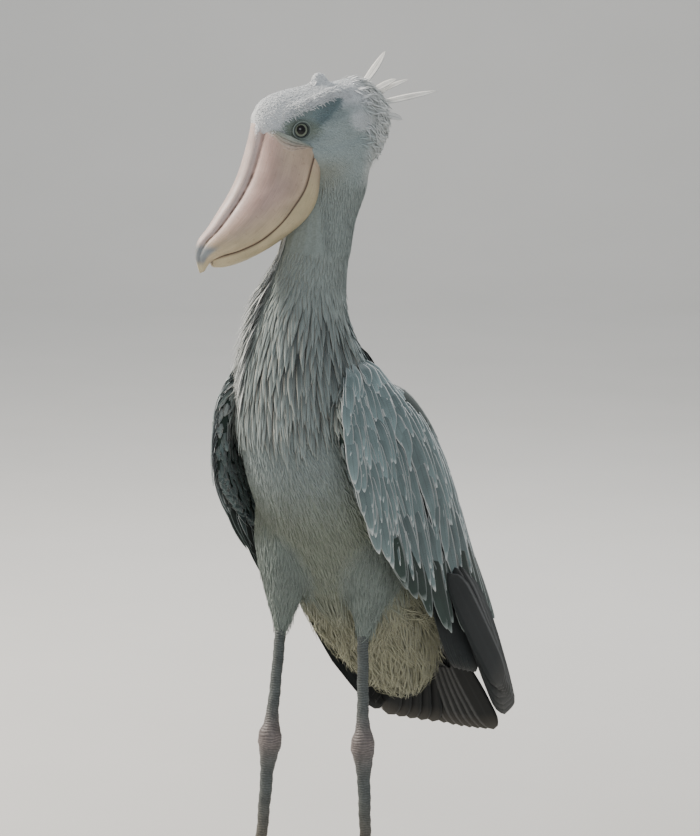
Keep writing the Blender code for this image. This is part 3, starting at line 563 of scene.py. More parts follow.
def blade_mesh(centre, half, normal, bend, thick, lines):
    """Points and triangles of closed blades.

    centre, half and normal are (blades, places, 3); the first and last places are the root
    and tip points. lines is how many points lie across the upper face.
    """
    across = np.linspace(-1, 1, lines)
    crown = 1 - across ** 2
    upper = np.concatenate((across, across[-2:0:-1]))
    lift = np.concatenate((crown, crown[-2:0:-1]))
    wall = np.concatenate((crown, -crown[-2:0:-1]))
    ring = len(upper)
    middle = centre[:, 1:-1]
    rise = bend[:, 1:-1, None] * lift + thick[:, None, None] / 2 * wall
    points = middle[:, :, None] + half[:, 1:-1, None] * upper[:, None]
    points = points + normal[:, 1:-1, None] * rise[..., None]
    blades, rings = points.shape[:2]
    points = points.reshape(blades, rings * ring, 3)
    points = np.concatenate((points, centre[:, :1], centre[:, -1:]), 1)
    size = rings * ring + 2
    pattern = tube_triangles(rings, ring)
    triangles = (pattern[None] + (np.arange(blades) * size)[:, None, None]).reshape(-1, 3)
    across_all = np.concatenate((np.tile(upper, rings), (0, 0)))
    return points, triangles, np.tile(across_all, (blades, 1)), ring


def feathers(name, middle, half, normal, bend, thick, facts, material, lines=3, side=1, patch=0.003):
    """One piece of many feathers.

    middle and half, the vector from the middle to the right edge, are (feathers, places, 3),
    normal is the outward direction there and bend how far the middle stands over the edges.
    facts holds, for each feather: tint, tip tint, place on the unwrap, length and half width.
    """
    count, places = middle.shape[:2]
    points, triangles, across, ring = blade_mesh(middle, half, normal, bend, thick, lines)
    if side < 0:
        points = on_side(points, side)
        triangles = triangles[:, ::-1]
    thing = mesh_object(name, points.reshape(-1, 3), triangles, material)
    share = along_places(places)
    along = np.concatenate((np.repeat(share[1:-1], ring), (0, 1)))
    along = np.broadcast_to(along, (count, len(along)))
    size = along.shape[1]
    vane = np.stack((across, along, np.repeat(facts["half"][:, None], size, 1)), -1)
    attribute(thing, "vane", "FLOAT_VECTOR", vane)
    colour = facts["tint"][:, None] + (facts["tip"] - facts["tint"])[:, None] * (along ** 2)[..., None]
    length = np.repeat(facts["length"][:, None, None], size, 1)
    attribute(thing, "tint", "FLOAT_COLOR", np.concatenate((colour, length), -1))
    spot = facts["uv"][:, None] + np.stack((across / 2, along - 0.5), -1) * patch
    unwrap(thing, "OFBake", spot.reshape(-1, 2))
    return thing


class Skin:
    """The finished skin, for laying feathers on it."""

    def __init__(self, thing):
        self.thing = thing
        mesh = thing.data
        mesh.calc_loop_triangles()
        points = mesh_points(thing)
        triangles = np.empty(3 * len(mesh.loop_triangles), np.int32)
        mesh.loop_triangles.foreach_get("vertices", triangles)
        self.triangles = triangles.reshape(-1, 3)
        self.normals = unit(vertex_values(thing, "normal")[self.triangles].sum(1))
        self.tree = BVHTree.FromPolygons([Vector(p) for p in points], self.triangles.tolist())

    def nearest(self, place, within=0.02):
        spot, _, face, distance = self.tree.find_nearest(Vector(place), within)
        if spot is None:
            return None, None, None
        return np.array(spot), self.normals[face], distance

    def lay(self, starts, headings, lengths, shares, within):
        """Follow the skin from each start along its heading.

        Returns the kept indices, the places (kept, shares, 3) and the normals there.
        """
        kept, places, normals = [], [], []
        for index, (start, heading, length) in enumerate(zip(starts, headings, lengths)):
            spot, normal, distance = self.nearest(start)
            if spot is None or distance > within:
                continue
            row, row_normals = [spot], [normal]
            for step in np.diff(shares) * length:
                heading = heading - normal * (heading @ normal)
                heading = heading / max(math.sqrt(heading @ heading), 1e-9)
                spot, normal, _ = self.nearest(row[-1] + heading * step)
                if spot is None:
                    break
                row.append(spot)
                row_normals.append(normal)
            if len(row) < len(shares):
                continue
            kept.append(index)
            places.append(row)
            normals.append(row_normals)
        return np.array(kept, int), np.array(places), np.array(normals)


ROOT_SINK = 0.001
BLADE_THICKNESS = 0.0003
BLADE_CROWN = 0.03
BLADE_ROLL = 0.10
TIER_THICKNESS = 0.0009
LEAST_BEND = 0.0002


def coat(skin, name, spots, length, width, lift, material, chance, shape="scale", rings=3,
         within=0.004, spread=0.12, sway=0.0, lines=3):
    """Feathers laid along the skin from their roots.

    spots holds, for each feather: start, heading, tint, tip tint and place on the unwrap.
    """
    count = len(spots["start"])
    length = length * chance.uniform(0.8, 1.2, count)
    width = width * chance.uniform(0.8, 1.2, count)
    share = along_places(rings + 2)
    kept, paths, normals = skin.lay(spots["start"], spots["heading"], length, share, within)
    length, width, lift = length[kept], width[kept], np.broadcast_to(lift, count)[kept]
    side = unit(np.cross(unit(np.gradient(paths, axis=1)), normals))
    turn = np.clip(chance.normal(0, spread, len(kept)), -0.9, 0.9)
    aside = np.tan(turn)[:, None] * share * length[:, None]
    aside = aside + np.clip(chance.normal(0, 1, len(kept)), -2, 2)[:, None] * sway * share ** 2
    lift = (lift * chance.uniform(0.7, 1.3, len(kept)))[:, None]
    height = -ROOT_SINK + (lift + ROOT_SINK) * share ** 0.7
    paths = paths + side * aside[..., None] + normals * height[..., None]
    along = unit(np.gradient(paths, axis=1))
    cross = unit(np.cross(along, normals))
    up = unit(np.cross(cross, along))
    cross = unit(cross + up * chance.normal(0, BLADE_ROLL, len(kept))[:, None, None])
    half = cross * (width[:, None] / 2 * widths_along(shape, share))[..., None]
    bend = np.repeat(width[:, None] * BLADE_CROWN, rings + 2, 1)
    facts = {key: spots[key][kept] for key in ("tint", "tip", "uv")}
    facts["length"], facts["half"] = length, width / 2
    thick = np.full(len(kept), BLADE_THICKNESS)
    return feathers(name, paths, half, up, bend, thick, facts, material, lines)


def tier(name, form, roots, tips, widths, lifts, tints, material, side=1, shape="covert",
         rings=8, lines=5, roll=0.0012, root=-0.003, over=0.0, patch=0.02):
    """Feathers lying on a form; roots and tips are (feathers, 2), place along and degrees.

    tints holds the colours of the roots and of the tips, over how far each whole feather stands.
    """
    count = len(roots)
    share = along_places(rings + 2)
    path = roots[:, None] + (tips - roots)[:, None] * share[None, :, None]
    u, theta = path[..., 0], np.radians(path[..., 1])
    over, lifts = (np.broadcast_to(values, count)[:, None] for values in (over, lifts))
    widths = np.broadcast_to(widths, count)
    height = root + over + (lifts - root) * np.clip(share / 0.3, 0, 1) ** 0.8
    centre = form.point(u, theta, height)
    normal = unit(form.point(u, theta, height + 0.01) - centre)
    along = unit(np.gradient(centre, axis=1))
    across = unit(np.cross(along, normal))
    step = across * (widths[:, None] / 2 * widths_along(shape, share))[..., None]
    right = form.point(*form.moved(u, theta, step), height - roll)
    left = form.point(*form.moved(u, theta, -step), height + roll)
    middle = (left + right) / 2
    bend = np.maximum(np.einsum("ijk,ijk->ij", centre - middle, normal), LEAST_BEND)
    facts = {
        "tint": tints[0], "tip": tints[1], "half": widths / 2, "length": path_lengths(centre),
        "uv": np.stack((path[:, 0, 0] / 10, path[:, 0, 1] / 360), -1),
    }
    thick = np.full(count, TIER_THICKNESS)
    half = (right - left) / 2
    return feathers(name, middle, half, normal, bend, thick, facts, material, lines, side, patch)


# Materials

def add_node(tree, kind, settings=None, links=None):
    """A node with its settings; links say which of its inputs an output feeds."""
    node = tree.nodes.new(kind)
    for key, value in (settings or {}).items():
        if isinstance(key, int) or key in node.inputs and not hasattr(node, key):
            node.inputs[key].default_value = value
        else:
            setattr(node, key, value)
    for key, output in (links or {}).items():
        tree.links.new(output, node.inputs[key])
    return node


def new_material(name):
    """An empty material, its node tree and its Principled shader."""
    material = bpy.data.materials.new(name)
    material.use_nodes = True
    tree = material.node_tree
    return material, tree, tree.nodes["Principled BSDF"]


def plug(tree, node, slot, value):
    """Give a node's input a number, a colour or another node's output."""
    if isinstance(value, (int, float)):
        node.inputs[slot].default_value = value
    elif isinstance(value, np.ndarray):
        node.inputs[slot].default_value = (*value, 1)
    else:
        tree.links.new(value, node.inputs[slot])


def math_node(tree, operation, *values):
    """One sum: each value is a number or another node's output."""
    node = add_node(tree, "ShaderNodeMath", {"operation": operation})
    for slot, value in enumerate(values):
        plug(tree, node, slot, value)
    return node.outputs[0]


def mixed(tree, factor, first, second, blend="MIX"):
    """Two colours mixed; each is a colour or an output."""
    node = add_node(tree, "ShaderNodeMix", {"data_type": "RGBA", "blend_type": blend})
    for slot, value in ((0, factor), (6, first), (7, second)):
        plug(tree, node, slot, value)
    return node.outputs[2]


def noise(tree, scale, detail):
    """Noise through the whole object."""
    place = add_node(tree, "ShaderNodeTexCoord").outputs["Object"]
    node = add_node(tree, "ShaderNodeTexNoise", {"Scale": scale, "Detail": detail}, {"Vector": place})
    return node.outputs[0]


def ranged(tree, value, low, high, first=0.0, last=1.0):
    """A value moved from the range low to high into first to last, and held there."""
    node = add_node(tree, "ShaderNodeMapRange", {1: low, 2: high, 3: first, 4: last}, {0: value})
    return node.outputs[0]


def stored(tree, name):
    """What the mesh stores under a name."""
    return add_node(tree, "ShaderNodeAttribute", {"attribute_name": name})


def shaded_tint(tree, shade):
    """The stored tint, made lighter or darker by a shade."""
    return mixed(tree, 1.0, stored(tree, "tint").outputs["Color"], shade, "MULTIPLY")


def bumped(tree, shader, height, strength, distance):
    settings = {"Strength": strength, "Distance": distance}
    bump = add_node(tree, "ShaderNodeBump", settings, {"Height": height})
    tree.links.new(bump.outputs[0], shader.inputs["Normal"])


def finished(tree, shader, colour, roughness, specular=0.5, **others):
    """Give the shader its colour and its finish; the others are inputs by name."""
    tree.links.new(colour, shader.inputs["Base Color"])
    plug(tree, shader, "Roughness", roughness)
    plug(tree, shader, "Specular IOR Level", specular)
    for name, value in others.items():
        shader.inputs[name.replace("_", " ")].default_value = value


DARK_SHAFT = linear("#262b2e")
WORN_TIP = linear("#8a8072")


def plumage_material(name, edge=None, edge_amount=0.5, shaft=0.0, barb_pitch=0.0025, barb_depth=0.32,
                     roughness=0.72, sheen=0.15, worn=0.0):
    """Feather keratin: matt barbs either side of a shaft, drawn coarse enough to show."""
    material, tree, shader = new_material(name)
    tint = stored(tree, "tint")
    vane = add_node(tree, "ShaderNodeSeparateXYZ", links={0: stored(tree, "vane").outputs["Vector"]})
    across = math_node(tree, "ABSOLUTE", vane.outputs[0])
    along = vane.outputs[1]
    reach = math_node(tree, "MULTIPLY", along, tint.outputs["Alpha"])
    barb = math_node(tree, "SUBTRACT", reach, math_node(tree, "MULTIPLY", across, vane.outputs[2]))
    drift = math_node(tree, "MULTIPLY", noise(tree, 160.0, 3.0), barb_pitch * 2.2)
    barb = math_node(tree, "ADD", barb, drift)
    wave = math_node(tree, "SINE", math_node(tree, "MULTIPLY", barb, 2 * math.pi / barb_pitch))
    shade = math_node(tree, "MULTIPLY_ADD", wave, 0.5 * barb_depth, 1.0 - 0.5 * barb_depth)
    blotch = ranged(tree, noise(tree, 45.0, 4.0), 0.3, 0.7, 0.88, 1.10)
    shade = math_node(tree, "MULTIPLY", shade, blotch)
    colour = mixed(tree, 1.0, tint.outputs["Color"], shade, "MULTIPLY")
    if edge is not None:
        rim, tip = ranged(tree, across, 0.78, 0.93), ranged(tree, along, 0.90, 1.0)
        amount = math_node(tree, "MULTIPLY", math_node(tree, "MAXIMUM", rim, tip), edge_amount)
        colour = mixed(tree, amount, colour, edge)
    if shaft:
        spine = ranged(tree, across, 0.02, 0.13, 1.0, 0.0)
        colour = mixed(tree, math_node(tree, "MULTIPLY", spine, shaft), colour, DARK_SHAFT)
    if worn:
        colour = mixed(tree, ranged(tree, along, 0.80, 1.0, 0.0, worn), colour, WORN_TIP)
    bumped(tree, shader, shade, 0.35, 0.0006)
    finished(tree, shader, colour, roughness, 0.28, Sheen_Weight=sheen, Sheen_Roughness=0.45)
    return material


def skin_material():
    """Skin under the coat, in the coat's own colours darkened by fine noise, painted shade so that no gap
    between feathers shows bright; matt as well.
    """
    material, tree, shader = new_material("plumage_underlayer")
    fine = noise(tree, 420.0, 5.0)
    # Painted shade: the tint darkened to between 0.62 and 0.92 of itself.
    colour = shaded_tint(tree, ranged(tree, fine, 0.2, 0.8, 0.62, 0.92))
    bumped(tree, shader, fine, 0.5, 0.0008)
    finished(tree, shader, colour, 0.85, 0.2)
    return material


def horn_material():
    """Bill horn: smooth worn keratin with a soft gloss, streaked along its length."""
    material, tree, shader = new_material("bill_keratin")
    grain = stored(tree, "vane").outputs["Vector"]
    stretch = add_node(tree, "ShaderNodeMapping", {"Scale": (1.0, 7.0, 1.0)}, {"Vector": grain})
    streak = add_node(
        tree, "ShaderNodeTexNoise", {"Scale": 7.0, "Detail": 7.0, "Roughness": 0.65},
        {"Vector": stretch.outputs[0]},
    ).outputs[0]
    cloud, speck = noise(tree, 38.0, 5.0), noise(tree, 260.0, 3.0)
    shade = ranged(tree, streak, 0.3, 0.7, 0.84, 1.08)
    mottle = ranged(tree, cloud, 0.3, 0.7, 0.86, 1.06)
    colour = shaded_tint(tree, math_node(tree, "MULTIPLY", shade, mottle))
    colour = mixed(tree, ranged(tree, speck, 0.60, 0.72, 0.0, 0.30), colour, linear("#7d6a5c"))
    relief = math_node(tree, "ADD", streak, math_node(tree, "MULTIPLY", speck, 0.4))
    bumped(tree, shader, relief, 0.45, 0.0007)
    finished(
        tree, shader, colour, ranged(tree, cloud, 0.3, 0.7, 0.42, 0.60), 0.4,
        Subsurface_Weight=0.12, Subsurface_Radius=(0.006, 0.003, 0.002),
    )
    return material


def leg_material():
    """Leg skin: dry leathery scales, darker in the grooves between them."""
    material, tree, shader = new_material("scaly_leg_skin")
    grit, cloud = noise(tree, 320.0, 5.0), noise(tree, 55.0, 4.0)
    shade = ranged(tree, grit, 0.25, 0.75, 0.78, 1.2)
    mottle = ranged(tree, cloud, 0.3, 0.7, 0.80, 1.15)
    colour = shaded_tint(tree, math_node(tree, "MULTIPLY", shade, mottle))
    bumped(tree, shader, grit, 0.5, 0.0005)
    finished(tree, shader, colour, 0.58)
    return material


def claw_material():
    """Claw horn: dark polished keratin with lengthwise streaks."""
    material, tree, shader = new_material("claw_keratin")
    streak = noise(tree, 150.0, 4.0)
    colour = mixed(tree, ranged(tree, streak, 0.3, 0.7), linear("#26241f"), linear("#4b453c"))
    bumped(tree, shader, streak, 0.3, 0.0003)
    finished(tree, shader, colour, 0.36)
    return material


def eye_material():
    """Eye: a pale streaked iris and a black pupil under a wet, glossy cornea."""
    material, tree, shader = new_material("wet_eye")
    colour = shaded_tint(tree, ranged(tree, noise(tree, 900.0, 3.0), 0.3, 0.7, 0.86, 1.1))
    finished(
        tree, shader, colour, 0.25, 0.2, Coat_Weight=0.7, Coat_Roughness=0.03, Coat_IOR=1.376,
    )
    return material


def floor_material():
    """Studio floor: matt pale paper with barely visible unevenness."""
    material, tree, shader = new_material("studio_paper")
    colour = mixed(tree, noise(tree, 3.0, 3.0), linear("#babab7"), linear("#c0bfbd"))
    finished(tree, shader, colour, 0.9)
    return material


# The bird's skin

SAMPLED_ROWS = 261
BATCH = 20000


def body_place(points):
    """Place along the body and angle round it from the belly, for any points."""
    u = np.linspace(0, len(BODY_ROWS) - 1, SAMPLED_ROWS)
    rows = spline(BODY_ROWS, u)
    centre = rows[:, :2]
    nearest = np.empty(len(points), int)
    for first in range(0, len(points), BATCH):
        gap = points[first:first + BATCH, None, 1:] - centre[None]
        nearest[first:first + BATCH] = (gap ** 2).sum(2).argmin(1)
    along = unit(np.gradient(centre, axis=0))[nearest]
    offset = points[:, 1:] - centre[nearest]
    front = offset[:, 0] * along[:, 1] - offset[:, 1] * along[:, 0]
    wide, belly, back = rows[nearest, 2:].T
    deep = np.where(front > 0, belly, back)
    return u[nearest], np.arctan2(points[:, 0] / wide, front / deep)


def body_share(points):
    """How far out each point lies over the body's own shape, one being its surface."""
    u, theta = body_place(points)
    y, z, wide, belly, back = spline(BODY_ROWS, u).T
    deep = np.where(np.cos(theta) > 0, belly, back)
    offset = np.linalg.norm(points[:, 1:] - np.stack((y, z), -1), axis=1)
    shares = (np.abs(points[:, 0]) / wide) ** BODY_SQUARENESS + (offset / deep) ** BODY_SQUARENESS
    return shares ** (1 / BODY_SQUARENESS)


def smooth(value, low, high):
    """Nought below low, one above high, smooth between."""
    share = np.clip((value - low) / (high - low), 0, 1)
    return share * share * (3 - 2 * share)


def toward(colour, other, amount):
    return colour + (other - colour) * amount[:, None]


def around(places, middle, half):
    """One inside a rounded region of the head, falling smoothly to nought at its edge."""
    far = np.linalg.norm((places - np.array(middle)) / np.array(half), axis=1)
    return 1 - smooth(far, 0.55, 1.15)


def brow_height(paired):
    """Height over the line of the brow, for places with both sides of the head as one."""
    line = np.array(BROW_LINE)[::-1]
    return paired[:, 2] - np.interp(paired[:, 0], line[:, 0], line[:, 2])


def evenly(colour, count):
    """One colour for each of this many points."""
    return np.broadcast_to(colour, (count, 3)).copy()


def head_colour(places):
    """Plumage colour of the head at places forward, aside and up, with painted shade under the brow and a
    painted highlight on the cheek.
    """
    paired = mirrored(places)
    forward, up = paired[:, 0], paired[:, 2]
    colour = evenly(CHEEK, len(places))
    colour = toward(colour, CROWN, smooth(up, 0.016, 0.040))
    colour = toward(colour, CROWN, smooth(forward, 0.012, 0.028))
    # Painted highlight: a pale patch of the crown's white on the cheek's bulge behind the eye.
    colour = toward(colour, CROWN, around(paired, (-0.080, 0.050, 0.008), (0.024, 0.030, 0.018)) * 0.8)
    front = bar_distance(paired, (0.022, 0.045, -0.002), (-0.006, 0.042, 0.008)) - 0.002
    rear = bar_distance(paired, (-0.006, 0.044, 0.010), (-0.050, 0.040, 0.033))
    rear = rear - np.interp(forward, (-0.052, -0.008), (-0.006, 0.006))
    wave = 0.0012 * np.sin(forward * 420) + 0.0009 * np.sin(forward * 910 + up * 600)
    inside = 1 - smooth(np.minimum(front, rear) + wave, 0.010, 0.017)
    inside = inside * (1 - smooth(brow_height(paired) + wave, -0.003, 0.001))
    # Painted shade: the band under the brow is darker than the cheek, partly its own blue-grey, and darkest
    # at its rear under the brow.
    shade = smooth(forward, -0.030, 0.008)[:, None]
    colour = colour + (MASK_AND_SHADE_REAR + (MASK_AND_SHADE_FRONT - MASK_AND_SHADE_REAR) * shade - colour) * inside[:, None]
    bare = around(paired, (0.008, 0.045, -0.005), (0.032, 0.034, 0.018))
    colour = toward(colour, EYE_SKIN, bare * 0.85)
    colour = toward(colour, NAPE, smooth(-forward, 0.078, 0.112))
    colour = toward(colour, THROAT, smooth(-up, 0.030, 0.070) * smooth(forward, -0.080, -0.030) * 0.7)
    return toward(colour, NECK, smooth(-up, 0.058, 0.105))


def plumage_colour(points):
    """Plumage colour at any points of the bird's head and body."""
    u, theta = body_place(points)
    turned = np.abs(np.degrees(theta))
    colour = evenly(NECK, len(points))
    colour = toward(colour, BREAST, smooth(u, 2.4, 4.2))
    colour = toward(colour, FLANK, smooth(u, 4.5, 6.0) * smooth(turned, 35, 70))
    colour = toward(colour, BELLY, smooth(u, 6.2, 8.0))
    colour = toward(colour, VENT, smooth(u, 8.9, 10.2))
    colour = toward(colour, MANTLE, smooth(u, 3.2, 4.6) * smooth(turned, 105, 135))
    head = head_colour(head_local(points))
    return toward(colour, head, smooth(points[:, 2], 1.045, 1.085))


# Distance down the thigh as a share of its length, and radius there.
THIGH_RADII = np.array((
    (0.0, 0.054), (0.30, 0.050), (0.52, 0.040), (0.70, 0.0275), (0.86, 0.0155), (1.0, 0.0080),
))


def thigh_line(side):
    """Top and lower end of a thigh."""
    return np.array((0.062 * side, ANKLES[side][1] + 0.045, THIGH_TOP)), KNEES[side]


def thigh_share(points):
    """How far each point belongs to a thigh, and its place along it."""
    best, along = np.full(len(points), 9.0), np.zeros(len(points))
    for side in (1, -1):
        far, share = axis_distance(points, *thigh_line(side))
        ratio = far / np.interp(share, *THIGH_RADII.T)
        along = np.where(ratio < best, share, along)
        best = np.minimum(best, ratio)
    return (1 - smooth(best, 1.15, 1.5)) * smooth(along, 0.12, 0.3), along


def coat_colour(points):
    """Plumage colour everywhere, thighs too."""
    share, _ = thigh_share(points)
    return toward(plumage_colour(points), THIGH, share)


SKIN_DEPTH = 0.0055
VENT_DEPTH = 0.0090
VOXEL = 0.0034
# Heights from which the skin is laid on the head again, and from which it is finer.
HEAD_FADE = 1.060
HEAD_CUT = 1.085


def unit_ball(subdivisions):
    """A ball, and the directions of its points."""
    bpy.ops.object.select_all(action="DESELECT")
    bpy.ops.mesh.primitive_ico_sphere_add(subdivisions=subdivisions, radius=1)
    thing = bpy.context.active_object
    return thing, unit(vertex_values(thing))


def head_ball():
    thing, directions = unit_ball(6)
    reach = head_reach(directions) - HEAD_COAT
    move_points(thing, head_points(HEAD_MIDDLE + directions * reach[:, None]))
    return thing


def body_tube(start=0.3, end=12.5, count=90, around_count=64):
    """The body, deeper under its coat toward the vent."""
    u = np.linspace(start, end, count)[:, None]
    depth = SKIN_DEPTH + VENT_DEPTH * smooth(u, 9.6, 11.2)
    return tube("body", BODY.point(u, turns_of(around_count)[None], -depth))


def wing_slab(edges, side, rows=40, columns=24):
    """The flesh of a folded wing as a closed sheet following the shell."""
    u = np.linspace(edges[0, 0], edges[-1, 0], rows)
    front, rear, thick = between(edges, u)
    share = np.linspace(0, 1, columns)
    theta = np.radians(front[:, None] + 1.5 + (rear - front - 3)[:, None] * share)
    u = np.repeat(u[:, None], columns, 1)
    outer = on_side(WING.point(u, theta, -0.0035), side)
    inner = on_side(WING.point(u, theta, -np.maximum(thick, 0.013)[:, None]), side)
    return tube("wing_slab", np.concatenate((outer, inner[:, ::-1]), 1))


def thigh_tube(side):
    hip, knee = thigh_line(side)
    place = np.linspace(0, 1.0, 30)
    radius = np.interp(place, *THIGH_RADII.T) - 0.003 * (1 - place)
    return tube("thigh", limb_rings(hip + (knee - hip) * place[:, None], radius, 32, LEFTWARD))


def tail_stub():
    """The flesh at the root of the tail."""
    along = unit(TAIL_TIP - TAIL_ROOT)
    normal = unit(np.array((0, -along[2], along[1])))
    root = TAIL_ROOT - normal * 0.012 - along * 0.075
    place = np.linspace(0, 0.130, 14)
    turns = turns_of(24)[:, None]
    oval = np.cos(turns) * np.array((0.046, 0, 0)) + np.sin(turns) * normal * 0.011
    return tube("tail_root", root + along * place[:, None, None] + oval)


def select_only(things):
    bpy.ops.object.select_all(action="DESELECT")
    for thing in things:
        thing.select_set(True)
    bpy.context.view_layer.objects.active = things[0]


def joined(things):
    """All of the things as one."""
    select_only(things)
    bpy.ops.object.join()
    return things[0]


def modified(thing, kind, **settings):
    """The thing after one modifier, applied."""
    select_only([thing])
    change = thing.modifiers.new(kind, kind)
    for key, value in settings.items():
        setattr(change, key, value)
    bpy.ops.object.modifier_apply(modifier=change.name)
    return thing


def skin_colour(points):
    """The coat's colour, with painted shade under the breast's open plumes and, in the secondaries' slate at
    seven tenths, under the wings; under the tail the tail's own black.
    """
    place, _ = body_place(points)
    off_thighs = 1 - thigh_share(points)[0]
    out = smooth(body_share(points), 1.02, 1.06)
    # Painted shade under the breast's open plumes, darkening the skin by up to six tenths.
    shaded = smooth(place, 2.9, 4.0) * (1 - smooth(place, 5.0, 5.8)) * off_thighs
    colour = coat_colour(points) * (1 - 0.6 * shaded)[:, None]
    # Painted shade under the wings: the secondaries' slate at seven tenths.
    colour = toward(colour, SECONDARY * 0.7, out * (points[:, 2] < 0.86) * off_thighs)
    tail = out * smooth(points[:, 1], 0.24, 0.26) * (np.abs(points[:, 0]) < 0.06)
    return toward(colour, RECTRIX, tail)


def build_skin(surface):
    """One closed skin: head, neck, body, thighs, wing flesh and the root of the tail."""
    parts = [head_ball(), body_tube()]
    for side, edges in ((1, LEFT_EDGES), (-1, RIGHT_EDGES)):
        parts += [wing_slab(edges, side), thigh_tube(side)]
    skin = joined(parts + [tail_stub()])
    skin.name = "shoebill_skin"
    skin = modified(skin, "REMESH", mode="VOXEL", voxel_size=VOXEL)
    skin = modified(skin, "SMOOTH", factor=0.5, iterations=4)
    refine_head(skin)
    skin.data.shade_smooth()
    skin.data.materials.clear()
    skin.data.materials.append(surface)
    store_tint(skin, skin_colour(mesh_points(skin)))
    return skin


def refine_head(skin):
    """Finer faces on the head, laid on its shape again after the remesh."""
    work = bmesh.new()
    work.from_mesh(skin.data)
    bmesh.ops.triangulate(work, faces=work.faces)
    cut_height = HEAD_CUT + ORIGIN[2]
    edges = [e for e in work.edges if min(v.co.z for v in e.verts) > cut_height]
    bmesh.ops.subdivide_edges(work, edges=edges, cuts=1, use_grid_fill=True)
    bmesh.ops.triangulate(work, faces=work.faces)
    work.to_mesh(skin.data)
    work.free()
    points = mesh_points(skin)
    local = head_local(points)
    share = smooth(points[:, 2], HEAD_FADE, HEAD_CUT)
    near = share > 0
    for _ in range(3):
        here = local[near]
        away = head_distance(here) + HEAD_COAT
        step = 0.0006
        slope = np.stack([
            head_distance(here + axis * step) - head_distance(here - axis * step) for axis in np.eye(3)
        ], -1) / (2 * step)
        size = np.maximum((slope ** 2).sum(1), 0.25)
        shift = np.clip(away / size, -0.004, 0.004)
        local[near] = here - slope * (shift * share[near])[:, None]
    points[near] = head_points(local[near])
    move_points(skin, points)


# The coat

NEIGHBOURS = [(i, j, k) for i in (0, -1, 1) for j in (0, -1, 1) for k in (0, -1, 1)]


def spaced(places, spacing):
    """Indices of places, in their order, none nearer than the spacing to one before it."""
    taken, kept = {}, []
    cells = np.floor(places / spacing).astype(int)
    for index, (place, (i, j, k)) in enumerate(zip(places.tolist(), cells.tolist())):
        x, y, z = place
        close = any(
            (x - other[0]) ** 2 + (y - other[1]) ** 2 + (z - other[2]) ** 2 < spacing * spacing
            for di, dj, dk in NEIGHBOURS for other in taken.get((i + di, j + dj, k + dk), ())
        )
        if not close:
            taken.setdefault((i, j, k), []).append(place)
            kept.append(index)
    return kept


def scattered(skin, chance, count, keep, spacing):
    """Places on the skin, no two nearer than the spacing there, and the skin's directions."""
    corners = mesh_points(skin.thing)[skin.triangles]
    middle = corners.mean(1)
    first_side, second_side = corners[:, 1] - corners[:, 0], corners[:, 2] - corners[:, 0]
    area = np.linalg.norm(np.cross(first_side, second_side), axis=1) * keep(middle, skin.normals)
    picks = chance.choice(len(area), count, p=area / area.sum())
    first, second = np.sqrt(chance.random(count)), chance.random(count)
    weights = np.stack((1 - first, first * (1 - second), first * second), -1)
    places = (corners[picks] * weights[..., None]).sum(1)
    kept = spaced(places, spacing)
    return places[kept], skin.normals[picks[kept]]


def unwrapped(points):
    """Place on an unwrap of the bird's own shape: round the body and along it."""
    u, theta = body_place(points)
    return np.stack((theta / (2 * np.pi) + 0.5, u / 14), -1)


def head_unwrapped(points):
    """Place on an unwrap of the head: round its upright axis and up it."""
    local = unit(head_local(points) - HEAD_MIDDLE)
    around_head = np.arctan2(local[:, 1], local[:, 0]) / (2 * np.pi) + 0.5
    rise = 0.5 + np.arcsin(np.clip(local[:, 2], -1, 1)) / np.pi
    return np.stack((around_head, 0.02 + 0.96 * rise), -1)


def shades(tint, chance, amount):
    """Tints varied a little from feather to feather."""
    return tint * (1 + chance.normal(0, amount, (len(tint), 1)))


def spots_at(places, heading, tint, tones, chance, unwrap_place=unwrapped):
    """What coat needs of feathers at places; tones are the shares of the tint at the root and
    at the tip, and how much both vary."""
    root, tip, vary = tones
    return {
        "start": places, "heading": heading, "tint": shades(tint * root, chance, vary),
        "tip": shades(tint * tip, chance, vary), "uv": unwrap_place(places),
    }


def head_heading(local):
    """Direction the head's feathers point, from the bill back and down the nape."""
    back = smooth(-local[:, 0], 0.060, 0.125)
    low = smooth(-local[:, 2], 0.010, 0.080)
    down = 0.12 + 1.3 * back + 1.6 * low
    direction = np.stack((-np.ones(len(local)), 0.15 * np.sign(local[:, 1]), -down), -1)
    return unit(direction @ HEAD_AXES)


def body_heading(points):
    u, theta = body_place(points)
    return BODY.lie(np.clip(u, 0.1, 12.8), theta)


# The rear edge of the bill on the head, from ridge to throat: forward, up.
BILL_EDGE = np.array(((0.062, 0.0040), (-0.016, -0.033), (-0.030, -0.052), (-0.031, -0.079)))


def bill_side(local):
    """Above nought where the bill covers the head."""
    return local[:, 0] - np.interp(-local[:, 2], -BILL_EDGE[:, 1], BILL_EDGE[:, 0])


def at(value, places):
    """A value, or what a function gives for the places."""
    return value(places) if callable(value) else value


def grown(skin, chance, surface, name, count, keep, spacing, tones, size, heading=body_heading,
          tint=coat_colour, dropped=None, **style):
    """One piece of feathers over the part of the skin that keep allows.

    count places are tried. size holds length, width and lift. tones, size and tint may be
    functions of the places, as heading is, and dropped, which says how many are left out.
    """
    places, _ = scattered(skin, chance, count, keep, spacing)
    if dropped:
        places = places[chance.random(len(places)) > dropped(places)]
    tint = at(tint, places)
    spots = spots_at(places, heading(places), tint, at(tones, places), chance)
    return coat(skin, name, spots, *at(size, places), surface, chance, **style)


